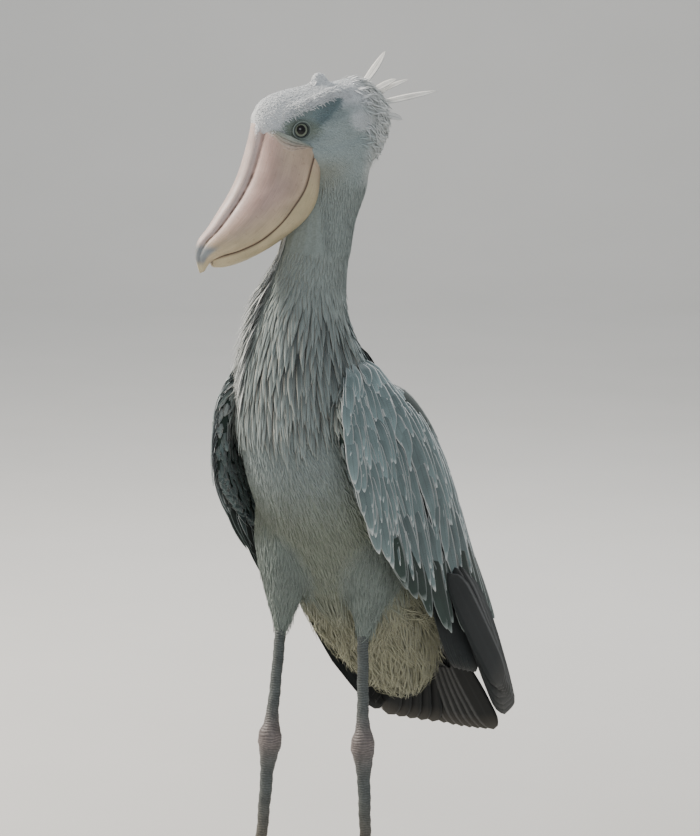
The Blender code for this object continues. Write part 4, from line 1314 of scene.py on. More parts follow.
def head_coat(skin, chance, surface):
    """Short, dense feathers of the head and throat, and the ruffled ones of the nape."""
    def keep(points, normals):
        local = head_local(points)
        eye = np.linalg.norm((local - EYE_PLACE) * (1, 0, 1), axis=1)
        bare = (eye < 0.0150) & (np.abs(local[:, 1]) > 0.02)
        return (points[:, 2] > 1.060) & (bill_side(local) < 0.003) & ~bare
    places, _ = scattered(skin, chance, 70000, keep, 0.0017)
    local = head_local(places)
    tones = (0.97, 1.04, 0.035)
    spots = spots_at(places, head_heading(local), head_colour(local), tones, chance, head_unwrapped)
    size = (0.0062, 0.0015, 0.0006)
    short = coat(skin, "head_feathers", spots, *size, surface, chance, rings=2, spread=0.30)
    share = smooth(-local[:, 0], 0.070, 0.115) * smooth(local[:, 2], -0.050, -0.020)
    share += 0.03 * smooth(local[:, 2], 0.046, 0.052)
    picks = np.flatnonzero(chance.random(len(share)) < share * 0.30)
    light = {key: value[picks] for key, value in spots.items()}
    light["tip"] = light["tip"] * 1.12
    size = (0.0135, 0.0034, 0.0046)
    nape = coat(skin, "nape_feathers", light, *size, surface, chance, "lance", 4, spread=0.50, sway=0.002)
    return [short, nape]


def brow_coat(skin, chance, surface):
    """Ragged edge of the crown's feathers, which hangs over the eye."""
    def keep(points, normals):
        local = head_local(points)
        paired = mirrored(local)
        height = brow_height(paired)
        inside = (height > -0.0038) & (height < 0.010) & (paired[:, 1] > 0.010)
        return inside & (local[:, 0] < 0.034) & (local[:, 0] > -0.070) & (points[:, 2] > 1.06)
    places, _ = scattered(skin, chance, 9000, keep, 0.0018)
    local = head_local(places)
    row = np.ones(len(local))
    heading = unit(np.stack((-0.95 * row, 0.2 * np.sign(local[:, 1]), -0.25 * row), -1) @ HEAD_AXES)
    tint = CROWN * (0.92 + 0.10 * smooth(local[:, 0], -0.06, 0.02)[:, None])
    spots = spots_at(places, heading, tint, (0.90, 1.06, 0.05), chance, head_unwrapped)
    size = (0.0060, 0.0018, 0.0015)
    return coat(skin, "brow_feathers", spots, *size, surface, chance, "lance", 3, spread=0.45, sway=0.0008)


def front_region(points, start, end, spread):
    """Whether points lie on the body's own front, between two places along it."""
    u, theta = body_place(points)
    return (u > start) & (u < end) & (np.abs(np.degrees(theta)) < spread) & (body_share(points) < 1.05)


def neck_coat(skin, chance, surface):
    """Close, streaky feathers of the neck."""
    def keep(points, normals):
        return (points[:, 2] > 0.880) & (points[:, 2] < 1.075) & (bill_side(head_local(points)) < 0)
    return grown(
        skin, chance, surface, "neck_feathers", 32000, keep, 0.0028, (0.93, 1.05, 0.05),
        (0.016, 0.0026, 0.0011), shape="lance", spread=0.10,
    )


def ruff_coat(skin, chance, surface):
    """Loose feathers that stand off the right side of the neck and the shoulder, in the nape's pale colour:
    partly their own, partly painted light on that side.
    """
    def keep(points, normals):
        u, theta = body_place(points)
        turned = np.degrees(theta)
        return (u > 1.5) & (u < 5.0) & (turned < -38) & (turned > -112) & (body_share(points) < 1.05)

    def size(places):
        u, _ = body_place(places)
        return 0.060, 0.0062, 0.004 + 0.016 * smooth(u, 1.6, 2.6) * (1 - 0.7 * smooth(u, 3.8, 4.9))
    return grown(
        skin, chance, surface, "ruff_feathers", 5200, keep, 0.0050, (0.82, 1.08, 0.08), size,
        tint=lambda places: evenly(NAPE, len(places)), shape="plume", rings=6, spread=0.08,
        sway=0.004, lines=5, within=0.006,
    )


def breast_coat(skin, chance, surface):
    """Hanging, pointed feathers of the breast, longer and more open toward its lower edge, where their roots
    are painted dark as shade in the gaps between them.
    """
    def keep(points, normals):
        return front_region(points, 2.1, 5.55, 99)

    def tones(places):
        # Painted shade: lower down each plume's root falls to a fifth of the tint, so the gaps between plumes
        # read dark; the tips are lighter.
        gap = smooth(body_place(places)[0], 2.9, 4.5)[:, None]
        return 1 - 0.80 * gap, 1.04 + 0.30 * gap, 0.09

    def size(places):
        low = smooth(body_place(places)[0], 2.4, 4.8)
        return 0.018 + 0.056 * low, 0.0044 + 0.0036 * low, 0.0014 + 0.0046 * low
    return grown(
        skin, chance, surface, "breast_feathers", 18000, keep, 0.0052, tones, size,
        dropped=lambda places: 0.34 * smooth(body_place(places)[0], 3.0, 4.2),
        shape="plume", rings=6, spread=0.07, sway=0.0022, lines=5,
    )


def belly_coat(skin, chance, surface):
    """Fine, soft feathers of the belly and the flanks."""
    def keep(points, normals):
        return front_region(points, 5.2, 10.3, 118) & (thigh_share(points)[0] < 0.6)
    return grown(
        skin, chance, surface, "belly_feathers", 46000, keep, 0.0033, (0.90, 1.06, 0.05),
        (0.024, 0.0028, 0.0016), shape="lance", spread=0.16,
    )


def back_coat(skin, chance, surface):
    """Broader feathers under those of the back."""
    def keep(points, normals):
        u, theta = body_place(points)
        behind = (np.abs(np.degrees(theta)) > 100) & (u > 2.8) & (u < 12.6)
        return behind & (body_share(points) < 1.05)

    def size(places):
        low = smooth(body_place(places)[0], 2.8, 4.6)
        return 0.018 + 0.014 * low, 0.0050 + 0.0070 * low, 0.0024
    return grown(
        skin, chance, surface, "back_feathers", 12000, keep, 0.0075, (0.80, 1.10, 0.06), size,
        shape="covert", rings=4, spread=0.10,
    )


def wing_coat(skin, chance, surface):
    """Small slate feathers over the flesh of the wings, under the long ones."""
    def keep(points, normals):
        tail = (np.abs(points[:, 0]) < 0.06) & (points[:, 1] > 0.235)
        off_thighs = thigh_share(points)[0] < 0.3
        return (points[:, 2] < 0.84) & (body_share(points) > 1.04) & off_thighs & ~tail

    def tint(places):
        # Painted shade: next to the body the feathers keep the secondaries' dark slate, farther out they go
        # most of the way to the coverts' grey.
        outside = smooth(body_share(places), 1.05, 1.18)[:, None]
        slate = SECONDARY + (COVERT - SECONDARY) * outside * 0.7
        return toward(slate, NAPE, smooth(places[:, 2], 0.69, 0.76) * 0.4)
    return grown(
        skin, chance, surface, "wing_down", 9000, keep, 0.0080, (0.75, 1.05, 0.08),
        (0.026, 0.0110, 0.0020), tint=tint, shape="covert", rings=4, spread=0.12,
    )


def thigh_heading(places):
    """Down the thighs, hardly aside."""
    hip, knee = thigh_line(1)
    return np.broadcast_to(unit((knee - hip) * (0.2, 1, 1)), places.shape)


def thigh_coat(skin, chance, surface):
    """Fine, close feathers of the thighs."""
    def keep(points, normals):
        covered = (points[:, 2] > THIGH_END - 0.004) & (points[:, 2] < 0.60)
        return (thigh_share(points)[0] > 0.3) & covered

    def size(places):
        high = smooth(places[:, 2], 0.40, 0.47)
        return 0.011 + 0.010 * high, 0.0022, 0.0006 + 0.0016 * high
    return grown(
        skin, chance, surface, "thigh_feathers", 30000, keep, 0.0028, (0.90, 1.07, 0.06), size,
        heading=thigh_heading, shape="lance", spread=0.16,
    )


def drifting(places, amount):
    """Directions that turn slowly from place to place, so that loose feathers fall in clumps."""
    x, _, z = places.T
    aside = np.sin(x * 130 + 2 * np.sin(z * 70)) + 0.6 * np.sin(z * 190 + x * 60)
    fore = np.sin(z * 110 + 3 * np.sin(x * 90)) + 0.6 * np.sin(x * 210 + 1)
    return amount * np.stack((aside, fore, np.zeros(len(x))), -1)


def clumped(chance, fall, drift, count, reach):
    """Headings that draw each feather of the vent toward the tip of its own clump."""
    def heading(places):
        loose = unit(body_heading(places) + np.array((0, 0.0, -fall)) + drifting(places, drift))
        centres = chance.choice(len(places), count, replace=False)
        tips = places[centres] + loose[centres] * reach
        gap = ((places[:, None] - places[centres][None]) ** 2).sum(2)
        return unit(tips[gap.argmin(1)] - places)
    return heading


VENT_CLUMPS = 130
WISP_CLUMPS = 46


def vent_coat(skin, chance, surface):
    """Long, loose, downy feathers under the tail and between the thighs."""
    def keep(points, normals):
        return front_region(points, 9.3, 12.9, 118) & (thigh_share(points)[0] < 0.6)
    return grown(
        skin, chance, surface, "vent_feathers", 26000, keep, 0.0031, (0.84, 1.08, 0.04),
        (0.036, 0.0028, 0.0060), heading=clumped(chance, 0.45, 0.13, VENT_CLUMPS, 0.060),
        shape="lance", rings=4, spread=0.10, sway=0.003,
    )


def vent_wisps(skin, chance, surface):
    """Longer tufts in clumps that stand off the vent and fray its lower edge."""
    def keep(points, normals):
        return front_region(points, 9.8, 12.9, 118) & (thigh_share(points)[0] < 0.6)
    return grown(
        skin, chance, surface, "vent_wisps", 9000, keep, 0.0056, (0.86, 1.12, 0.05),
        (0.050, 0.0020, 0.0150), heading=clumped(chance, 0.60, 0.30, WISP_CLUMPS, 0.055),
        shape="lance", rings=5, spread=0.14, sway=0.005, within=0.006,
    )


def thigh_wisps(skin, chance, surface):
    """Looser tufts behind the knees and round the thighs' lower ends."""
    def keep(points, normals):
        covered = (points[:, 2] > THIGH_END + 0.006) & (points[:, 2] < 0.53)
        return (thigh_share(points)[0] > 0.5) & covered & (normals[:, 1] > -0.2)
    return grown(
        skin, chance, surface, "thigh_wisps", 2500, keep, 0.0052, (0.92, 1.10, 0.05),
        (0.026, 0.0020, 0.0046), tint=lambda places: coat_colour(places) * 1.06,
        heading=lambda places: unit(thigh_heading(places) + drifting(places, 0.12)),
        shape="lance", rings=4, spread=0.16, sway=0.003,
    )


def tail_coat(skin, chance, surface):
    """Dark feathers over the root of the tail, the lowest ones lying on the long ones."""
    def keep(points, normals):
        inside = (np.abs(points[:, 0]) < 0.056) & (points[:, 1] > 0.240) & (points[:, 2] > 0.290)
        return inside & (body_share(points) > 1.03)
    return grown(
        skin, chance, surface, "tail_coverts", 3500, keep, 0.0075, (0.8, 1.3, 0.08),
        (0.050, 0.0120, 0.0030), tint=lambda places: evenly(RECTRIX * 1.5, len(places)),
        heading=lambda places: unit(unit(TAIL_TIP - TAIL_ROOT) + places * (1.6, 0, 0)),
        shape="covert", rings=5, spread=0.10,
    )


# Feathers laid on the forms: the breast, back, wings and tail

def rows_of(chance, count, roots, tips, jitter):
    """Roots and tips spread evenly along a tier given by its front, middle and rear."""
    share = np.linspace(0, 2, count)
    start, end = spline(np.array(roots), share), spline(np.array(tips), share)
    end = end + chance.uniform(-1, 1, end.shape) * jitter
    start = start + chance.uniform(-1, 1, start.shape) * (jitter[0] * 0.5, jitter[1] * 0.5)
    return start, end


# Rows of back feathers: root place along the body, length along it, degrees either side of
# the spine, number.
MANTLE_ROWS = (
    (10.90, 1.6, 46, 9),
    (10.10, 1.7, 40, 9),
    (9.35, 1.8, 36, 9),
    (8.60, 1.8, 34, 9),
    (7.80, 1.8, 34, 10),
    (7.00, 1.7, 34, 10),
    (6.20, 1.6, 34, 10),
    (5.50, 1.5, 34, 10),
    (4.85, 1.35, 36, 10),
)


def mantle(chance, surface):
    """Broad slate feathers of the back."""
    things = []
    for row, (start, length, spread, count) in enumerate(MANTLE_ROWS):
        share = np.linspace(-1, 1, count) + chance.uniform(-0.3, 0.3, count) * (2 / count)
        roots = np.stack((start + chance.uniform(-0.1, 0.1, count), 180 + spread * share), -1)
        reach = length * chance.uniform(0.9, 1.1, count)
        tips = roots + np.stack((reach, chance.uniform(-2, 2, count)), -1)
        tint = MANTLE * chance.uniform(0.80, 1.05, (count, 1))
        things.append(tier(
            "mantle_%d" % row, BODY, roots, tips, chance.uniform(0.026, 0.032, count), 0.0050,
            (tint * 0.72, tint * 1.16), surface, roll=0.0010,
        ))
    return things


# Tiers of a wing: name, count, roots and tips at the front, middle and rear edge, width and
# tip height.
WING_TIERS = (
    ("secondaries", 20, ((2.55, 63), (3.80, 88), (4.50, 132)), ((3.85, 58), (5.55, 79), (6.65, 120)),
     0.025, 0.0046),
    ("greater_coverts", 24, ((1.95, 61), (3.10, 90), (3.75, 136)), ((3.15, 54), (4.80, 84), (5.40, 134)),
     0.019, 0.0050),
    ("primary_coverts", 24, ((1.75, 61), (2.75, 90), (3.35, 136)), ((2.90, 54), (4.40, 85), (5.00, 134)),
     0.018, 0.0051),
    ("middle_coverts", 24, ((1.55, 61), (2.35, 91), (2.90, 134)), ((2.60, 53), (3.95, 86), (4.45, 133)),
     0.018, 0.0052),
    ("median_coverts", 24, ((1.35, 61), (1.95, 92), (2.40, 132)), ((2.30, 53), (3.45, 87), (3.85, 132)),
     0.017, 0.0054),
    ("upper_median", 24, ((1.15, 63), (1.60, 92), (1.95, 130)), ((1.98, 54), (2.95, 88), (3.30, 130)),
     0.0165, 0.0056),
    ("lesser_coverts", 23, ((0.95, 65), (1.28, 92), (1.50, 124)), ((1.68, 56), (2.48, 88), (2.75, 127)),
     0.016, 0.0058),
    ("small_coverts", 22, ((0.78, 66), (0.98, 92), (1.12, 121)), ((1.40, 57), (2.02, 88), (2.20, 124)),
     0.0155, 0.0058),
    ("shoulder_coverts", 20, ((0.62, 68), (0.72, 92), (0.82, 118)), ((1.14, 60), (1.60, 89), (1.70, 121)),
     0.015, 0.0057),
    ("upper_coverts", 18, ((0.46, 76), (0.48, 92), (0.56, 108)), ((0.90, 66), (1.18, 90), (1.26, 114)),
     0.0145, 0.0054),
    ("highest_coverts", 15, ((0.30, 82), (0.28, 92), (0.34, 102)), ((0.66, 72), (0.82, 90), (0.88, 108)),
     0.0140, 0.0050),
)
SHOULDER_TIERS = (
    ("scapulars_low", 8, ((1.70, 124), (1.80, 131), (2.00, 141)), ((3.10, 124), (3.60, 133), (3.80, 147)),
     0.030, 0.0066),
    ("scapulars", 8, ((0.80, 117), (0.85, 126), (1.05, 137)), ((2.20, 119), (2.70, 129), (2.90, 143)),
     0.030, 0.0072),
)
# The flight feathers: how many, and the first and last one's root and tip.
PRIMARIES = 8
PRIMARY_ROOTS = ((4.55, 88), (5.30, 103))
PRIMARY_TIPS = ((7.70, 88), (8.65, 91))
PRIMARY_TUCK = 10.0
INNER_PRIMARIES = 5
INNER_ROOTS = ((4.9, 80), (5.2, 94))
INNER_TIPS = ((6.55, 70), (6.95, 80))


def tightened(places, side):
    """Places of the drooping left wing, moved with the front edge on the right wing."""
    if side > 0:
        return places
    u, angle = places[:, 0], places[:, 1]
    front = between(LEFT_EDGES, u)[0]
    shift = between(RIGHT_EDGES, u)[0] - front
    share = np.clip((WING_REAR - angle) / (WING_REAR - front), 0, 1)
    return np.stack((u, angle + shift * share), -1)


def even_places(ends, count):
    """Places spread evenly from the first end to the last."""
    share = np.linspace(0, 1, count)
    return np.array([np.interp(share, (0, 1), pair) for pair in zip(*ends)]).T


def wing(side, chance, surfaces):
    """All the long feathers of one folded wing."""
    def laid(label, roots, tips, widths, lifts, tint, tones, surface, shape="covert", rings=12,
             patch=0.03, **style):
        roots, tips = tightened(roots, side), tightened(tips, side)
        tints = [tint * tone for tone in tones]
        return tier(
            "%s_%s" % (label, SIDE_NAMES[side]), WING, roots, tips, widths, lifts, tints,
            surfaces[surface], side, shape, rings, 7, patch=patch, **style,
        )
    tuck = (0, PRIMARY_TUCK if side < 0 else 0)
    roots, tips = (even_places(ends, PRIMARIES) + tuck for ends in (PRIMARY_ROOTS, PRIMARY_TIPS))
    tint = PRIMARY * chance.uniform(0.85, 1.05, (PRIMARIES, 1))
    things = [laid(
        "primaries", roots, tips, 0.058, 0.0018, tint, (0.9, 1.15), "quill", "quill", 16, 0.06,
        over=0.0014 * np.arange(PRIMARIES)[::-1],
    )]
    if side > 0:
        roots, tips = (even_places(ends, INNER_PRIMARIES) for ends in (INNER_ROOTS, INNER_TIPS))
        tint = PRIMARY * chance.uniform(0.85, 1.25, (INNER_PRIMARIES, 1))
        things.append(laid(
            "inner_primaries", roots, tips, 0.028, -0.0040, tint, (0.9, 1.3), "quill", "quill", 14, 0.05,
            root=-0.008, over=-0.0012 * np.arange(INNER_PRIMARIES)[::-1],
        ))
    for order, (label, count, roots, tips, width, lift) in enumerate(WING_TIERS):
        start, end = rows_of(chance, count, roots, tips, (0.16, 3.2))
        base, surface = (COVERT, "covert") if order else (SECONDARY, "secondary")
        tint = base * chance.uniform(0.80, 1.14, (count, 1)) * (1 + 0.08 * order)
        widths = width * chance.uniform(0.85, 1.15, count)
        lifts = lift * chance.uniform(0.8, 1.15, count)
        things.append(laid(label, start, end, widths, lifts, tint, (0.62, 1.22), surface))
    for label, count, roots, tips, width, lift in SHOULDER_TIERS:
        start, end = rows_of(chance, count, roots, tips, (0.07, 1.0))
        tint = SECONDARY * chance.uniform(0.85, 1.1, (count, 1))
        widths = width * chance.uniform(0.92, 1.08, count)
        things.append(laid(label, start, end, widths, lift, tint, (0.9, 1.15), "secondary"))
    return things


TAIL_FEATHERS = 12
TAIL_FAN = math.radians(3.3)
TAIL_WIDTH = 0.044
TAIL_SPREAD = 0.0088
TAIL_STEP = 0.0019
TAIL_START = 0.020


def tail(surface):
    """Twelve tail feathers stacked in a fan."""
    along = unit(TAIL_TIP - TAIL_ROOT)
    reach = np.linalg.norm(TAIL_TIP - TAIL_ROOT)
    normal = np.array((0, -along[2], along[1]))
    number = np.arange(TAIL_FEATHERS)
    aside = number - (TAIL_FEATHERS - 1) / 2
    layer = np.empty(TAIL_FEATHERS)
    layer[sorted(number, key=lambda k: (abs(aside[k]), k))] = number
    turn = (aside * TAIL_FAN)[:, None]
    line = along * np.cos(turn) + LEFTWARD * np.sin(turn)
    across = LEFTWARD * np.cos(turn) - along * np.sin(turn)
    start = TAIL_ROOT + along * TAIL_START + LEFTWARD * (aside * TAIL_SPREAD)[:, None]
    start = start - normal * (layer * TAIL_STEP)[:, None]
    share = along_places(18)
    length = (reach - TAIL_START) * (1 - 0.012 * np.abs(aside))
    middle = start[:, None] + line[:, None] * (length[:, None] * share)[..., None]
    half = across[:, None] * (TAIL_WIDTH / 2 * widths_along("quill", share))[None, :, None]
    tint = evenly(RECTRIX, TAIL_FEATHERS)
    facts = {
        "tint": tint, "tip": tint * 1.1, "length": length, "half": np.full(TAIL_FEATHERS, TAIL_WIDTH / 2),
        "uv": np.stack((0.05 * number, np.full(TAIL_FEATHERS, 0.95)), -1),
    }
    up = np.broadcast_to(normal, middle.shape)
    bend = np.full(middle.shape[:2], 0.0005)
    thick = np.full(TAIL_FEATHERS, 0.0010)
    return feathers("tail_feathers", middle, half, up, bend, thick, facts, surface, 7, 1, 0.04)


# The crest and nape: root, middle and tip on the head (forward, aside, up), width.
CREST = (
    ((-0.104, -0.004, 0.046), (-0.132, -0.008, 0.074), (-0.149, -0.010, 0.1000), 0.013),
    ((-0.116, 0.006, 0.024), (-0.166, 0.012, 0.034), (-0.219, 0.016, 0.0430), 0.012),
    ((-0.110, 0.016, 0.042), (-0.134, 0.022, 0.056), (-0.150, 0.024, 0.0620), 0.011),
    ((-0.112, -0.014, 0.034), (-0.140, -0.018, 0.042), (-0.160, -0.020, 0.0440), 0.011),
    ((-0.118, 0.004, 0.036), (-0.150, 0.006, 0.052), (-0.178, 0.008, 0.0600), 0.009),
    ((-0.120, 0.018, 0.012), (-0.146, 0.024, 0.012), (-0.158, 0.028, 0.0040), 0.012),
    ((-0.120, -0.014, 0.002), (-0.146, -0.018, 0.000), (-0.157, -0.020, -0.0100), 0.012),
    ((-0.122, 0.002, 0.008), (-0.146, 0.003, 0.010), (-0.162, 0.004, 0.0080), 0.011),
)
CREST_WHITE = linear("#eeeeea")
# The way that the crest's vanes face.
CREST_FACE = unit(np.array((0.15, -0.80, 0.58)))


def crest(surface):
    """The crest's long feathers and the loose ones of the nape."""
    table = np.array([(*root, *bend, *tip) for root, bend, tip, _ in CREST])
    start, bend, end = (head_points(table[:, k:k + 3])[:, None] for k in (0, 3, 6))
    width = np.array([row[3] for row in CREST])
    place = along_places(16)
    share = place[None, :, None]
    first = start + (bend - start) * share
    second = bend + (end - bend) * share
    middle = first + (second - first) * share
    along = unit(np.gradient(middle, axis=1))
    across = unit(np.cross(along, CREST_FACE))
    half = across * (width[:, None] / 2 * widths_along("covert", place))[..., None]
    up = unit(np.cross(along, across))
    tint = evenly(CREST_WHITE, len(CREST))
    facts = {
        "tint": tint, "tip": tint, "half": width / 2, "length": path_lengths(middle),
        "uv": np.stack((0.04 * np.arange(len(CREST)), np.full(len(CREST), 0.90)), -1),
    }
    bend = np.full(middle.shape[:2], 0.0006)
    thick = np.full(len(CREST), 0.0007)
    return feathers("crest", middle, half, up, bend, thick, facts, surface, 7, 1, 0.03)


# Bill

# For each station the ridge (forward, up), the mouth line (forward, up) and half width.
UPPER_BILL = (
    (0.062, 0.0040, -0.016, -0.033, 0.0450),
    (0.0693, -0.027, -0.008, -0.053, 0.0490),
    (0.082, -0.0655, 0.004, -0.086, 0.0520),
    (0.097, -0.0945, 0.0210, -0.111, 0.0515),
    (0.112, -0.1164, 0.0400, -0.135, 0.0475),
    (0.1298, -0.1405, 0.0660, -0.157, 0.0400),
    (0.1447, -0.158, 0.094, -0.171, 0.0305),
    (0.150, -0.174, 0.118, -0.179, 0.0195),
    (0.1485, -0.188, 0.131, -0.188, 0.0105),
    (0.1435, -0.2035, 0.137, -0.2005, 0.0025),
)
# Height share from mouth line to ridge, and share of the half width.
UPPER_SECTION = (
    (0.0, 0.97), (0.04, 1.0), (0.12, 1.02), (0.2, 1.04), (0.32, 1.03), (0.45, 0.98), (0.57, 0.90),
    (0.68, 0.77), (0.76, 0.63), (0.82, 0.47), (0.845, 0.34), (0.87, 0.30), (0.91, 0.29), (0.95, 0.25),
    (0.985, 0.16), (1.0, 0.05),
)
LOWER_BILL = (
    (-0.016, -0.033, -0.0300, -0.0520, 0.0430),
    (-0.008, -0.053, -0.0310, -0.079, 0.0470),
    (0.004, -0.086, -0.0260, -0.109, 0.0495),
    (0.0210, -0.111, -0.010, -0.133, 0.0490),
    (0.0400, -0.135, 0.016, -0.153, 0.0450),
    (0.0660, -0.157, 0.046, -0.172, 0.0380),
    (0.094, -0.171, 0.080, -0.188, 0.0285),
    (0.118, -0.179, 0.107, -0.1955, 0.0180),
    (0.128, -0.184, 0.124, -0.1955, 0.0085),
)
LOWER_SECTION = (
    (0.0, 0.98), (0.05, 1.0), (0.2, 0.985), (0.4, 0.95), (0.6, 0.86), (0.8, 0.70), (0.95, 0.47), (1.02, 0.22),
)
MOUTH_GAP = 0.0012
BILL_STEPS = 130
BILL_POINTS = 40

BILL_SIDE = linear("#b3988f")
BILL_CREAM = linear("#c2b391")
BILL_RIDGE = linear("#c5b3ac")
BILL_DARK = linear("#5f4a3e")
BILL_NAIL = linear("#8d9193")
BILL_TIP = linear("#cdbf9c")


def bill_part(name, rows, section, ridge, surface):
    """One half of the bill at fine steps, and the place along it and up it of its corners.

    ridge is the first value of the ridge or keel in a row; the mouth line is the other one.
    """
    stations = resampled(rows, BILL_STEPS)
    mouth, far = stations[:, 2 - ridge:4 - ridge], stations[:, ridge:ridge + 2]
    profile = resampled(section, BILL_POINTS)
    rise = far - mouth
    away = unit(rise) * MOUTH_GAP / 2
    place = mouth[:, None] + away[:, None] + rise[:, None] * profile[None, :, :1]
    wide = stations[:, 4:5] * profile[None, :, 1]
    left = np.stack((place[..., 0], wide, place[..., 1]), -1)
    right = left[:, ::-1] * (1, -1, 1)
    size = (BILL_STEPS, 2 * BILL_POINTS)
    rings = head_points(np.concatenate((left, right), 1).reshape(-1, 3)).reshape(*size, 3)
    height = np.broadcast_to(np.concatenate((profile[:, 0], profile[::-1, 0])), size)
    along = np.broadcast_to(np.linspace(0, 1, BILL_STEPS)[:, None], size)
    return tube(name, rings, surface), along.ravel(), height.ravel()


def upper_colour(a, h):
    """Colours of the upper bill at shares along it and up it."""
    colour = evenly(BILL_SIDE, a.size)
    colour = toward(colour, BILL_CREAM, smooth(a * 0.9 - h * 0.5, -0.05, 0.45) * 0.85)
    root = (1 - smooth(a, 0.06, 0.34)) * (1 - smooth(h, 0.45, 0.75))
    colour = toward(colour, BILL_CREAM, root * 0.45)
    colour = toward(colour, BILL_RIDGE, smooth(h, 0.865, 0.89))
    broken = (0.55 + 0.30 * np.sin(a * 61) + 0.25 * np.sin(a * 143 + 1)) * smooth(a, 0.13, 0.27)
    line = np.exp(-((h - 0.855) / 0.014) ** 2)
    colour = toward(colour, BILL_DARK, broken * line * (1 - smooth(a, 0.8, 0.9)))
    colour = toward(colour, BILL_DARK, 0.75 * (1 - smooth(h, 0.0, 0.05)))
    colour = toward(colour, BILL_NAIL, smooth(a, 0.66, 0.74) * smooth(h, 0.45, 0.62))
    colour = toward(colour, BILL_TIP, smooth(a, 0.86, 0.95))
    clouds = 0.07 * np.sin(a * 17 + 3 * np.sin(h * 7)) * np.sin(h * 13 + 4 * np.sin(a * 11))
    return colour * (1 + clouds)[:, None]


def lower_colour(a, h):
    colour = evenly(BILL_CREAM, a.size)
    colour = toward(colour, BILL_SIDE, (1 - smooth(a, 0.0, 0.3)) * 0.6)
    return toward(colour, BILL_DARK, 0.85 * (1 - smooth(h, 0.01, 0.06 + 0.16 * smooth(a, 0.45, 0.8))))


def bill(surface):
    """Both halves of the bill, upper one first, with their colours and the way of their grain."""
    halves = (
        ("bill_upper_horn", UPPER_BILL, UPPER_SECTION, 0, upper_colour),
        ("bill_lower_horn", LOWER_BILL, LOWER_SECTION, 2, lower_colour),
    )
    things = []
    for number, (name, rows, section, ridge, colours) in enumerate(halves):
        thing, along, height = bill_part(name, rows, section, ridge, surface)
        store_tint(thing, with_ends(colours(along, height)))
        grain = np.stack((along, height, np.full(along.size, float(number))), -1)
        attribute(thing, "vane", "FLOAT_VECTOR", with_ends(grain))
        unwrap(thing, "OFBake", with_ends(grain[:, :2]))
        things.append(thing)
    return things


def bill_point(place, height, out):
    """A point on the upper bill's left side: place along, profile share up it, height over it."""
    stations = spline(np.array(UPPER_BILL), place * (len(UPPER_BILL) - 1))
    profile = spline(np.array(UPPER_SECTION), height * (len(UPPER_SECTION) - 1))
    mouth, ridge = stations[:, 2:4], stations[:, 0:2]
    point = mouth + (ridge - mouth) * profile[:, :1]
    wide = stations[:, 4] * profile[:, 1] + out
    return np.stack((point[:, 0], wide, point[:, 1]), -1)


FOLD_REAR = linear("#8d948b")
FOLD_FRONT = linear("#b4a192")
FOLD_OVERLAP = 0.012
FOLD_SINK = 0.0015
FOLD_HEIGHT = 0.0013
# Furrows of the folds: share of the way from the rear edge to the front, and width.
FURROWS = ((0.36, 0.030), (0.55, 0.040), (0.75, 0.035))


def fold_shape(rows=90, columns=44):
    """Shares forward and up the folds, the place of each corner, its fine grain and furrows."""
    height = np.linspace(0.02, 0.985, rows)
    reach = 0.012 + 0.040 * smooth(height, 0.05, 0.5) + 0.052 * np.exp(-((height - 0.36) / 0.18) ** 2)
    reach = reach + 0.004 * np.sin(height * 23) + 0.002 * np.sin(height * 61)
    reach = reach + 0.050 * smooth(height, 0.80, 0.90)
    s, h = np.meshgrid(np.linspace(0, 1, columns), height)
    place = -FOLD_OVERLAP + (reach[:, None] + FOLD_OVERLAP) * s
    bent = s + 0.05 * np.sin(h * 14) + 0.02 * np.sin(h * 37 + 1)
    furrow = sum(np.exp(-((bent - at) / wide) ** 2) for at, wide in FURROWS)
    furrow = furrow * smooth(h, 0.02, 0.12) * (1 - smooth(h, 0.46, 0.62))
    fine = np.sin(s * 44 + 5 * np.sin(h * 13)) * np.sin(h * 57 + 3 * np.sin(s * 9))
    return s, h, place, fine, furrow


def fold_colour(s, h, fine, furrow):
    rear = FOLD_REAR + (CROWN - FOLD_REAR) * smooth(h, 0.50, 0.66)[..., None]
    front = FOLD_FRONT + (BILL_RIDGE - FOLD_FRONT) * smooth(h, 0.50, 0.80)[..., None]
    tint = rear + (front - rear) * smooth(s + 0.08 * fine, 0.15, 0.85)[..., None]
    # Painted shade: the tint darkened in the furrows, by up to about four tenths.
    return tint * np.clip(0.98 + 0.10 * fine - 0.42 * furrow, 0.45, 1.2)[..., None]


def face_folds(surface):
    """Wrinkled bare skin over the rear edge of the bill, from the forehead to the mouth's corner."""
    s, h, place, fine, furrow = fold_shape()
    ripple = 0.30 * fine - 1.1 * furrow
    out = FOLD_HEIGHT * (1 - s ** 3) * (1 + 0.60 * ripple) - 0.0006 * s ** 6
    top = bill_point(place.ravel(), h.ravel(), out.ravel())
    low = bill_point(place.ravel(), h.ravel(), np.full(place.size, -FOLD_SINK))
    tint = fold_colour(s, h, fine, furrow)
    tint = np.concatenate((tint, tint[:, ::-1]), 1).reshape(-1, 3)
    things = []
    for side, name in SIDE_NAMES.items():
        outer, inner = (head_points(part * (1, side, 1)).reshape(*s.shape, 3) for part in (top, low))
        thing = tube("face_folds_" + name, np.concatenate((outer, inner[:, ::-1]), 1), surface)
        store_tint(thing, with_ends(tint))
        things.append(thing)
    return things


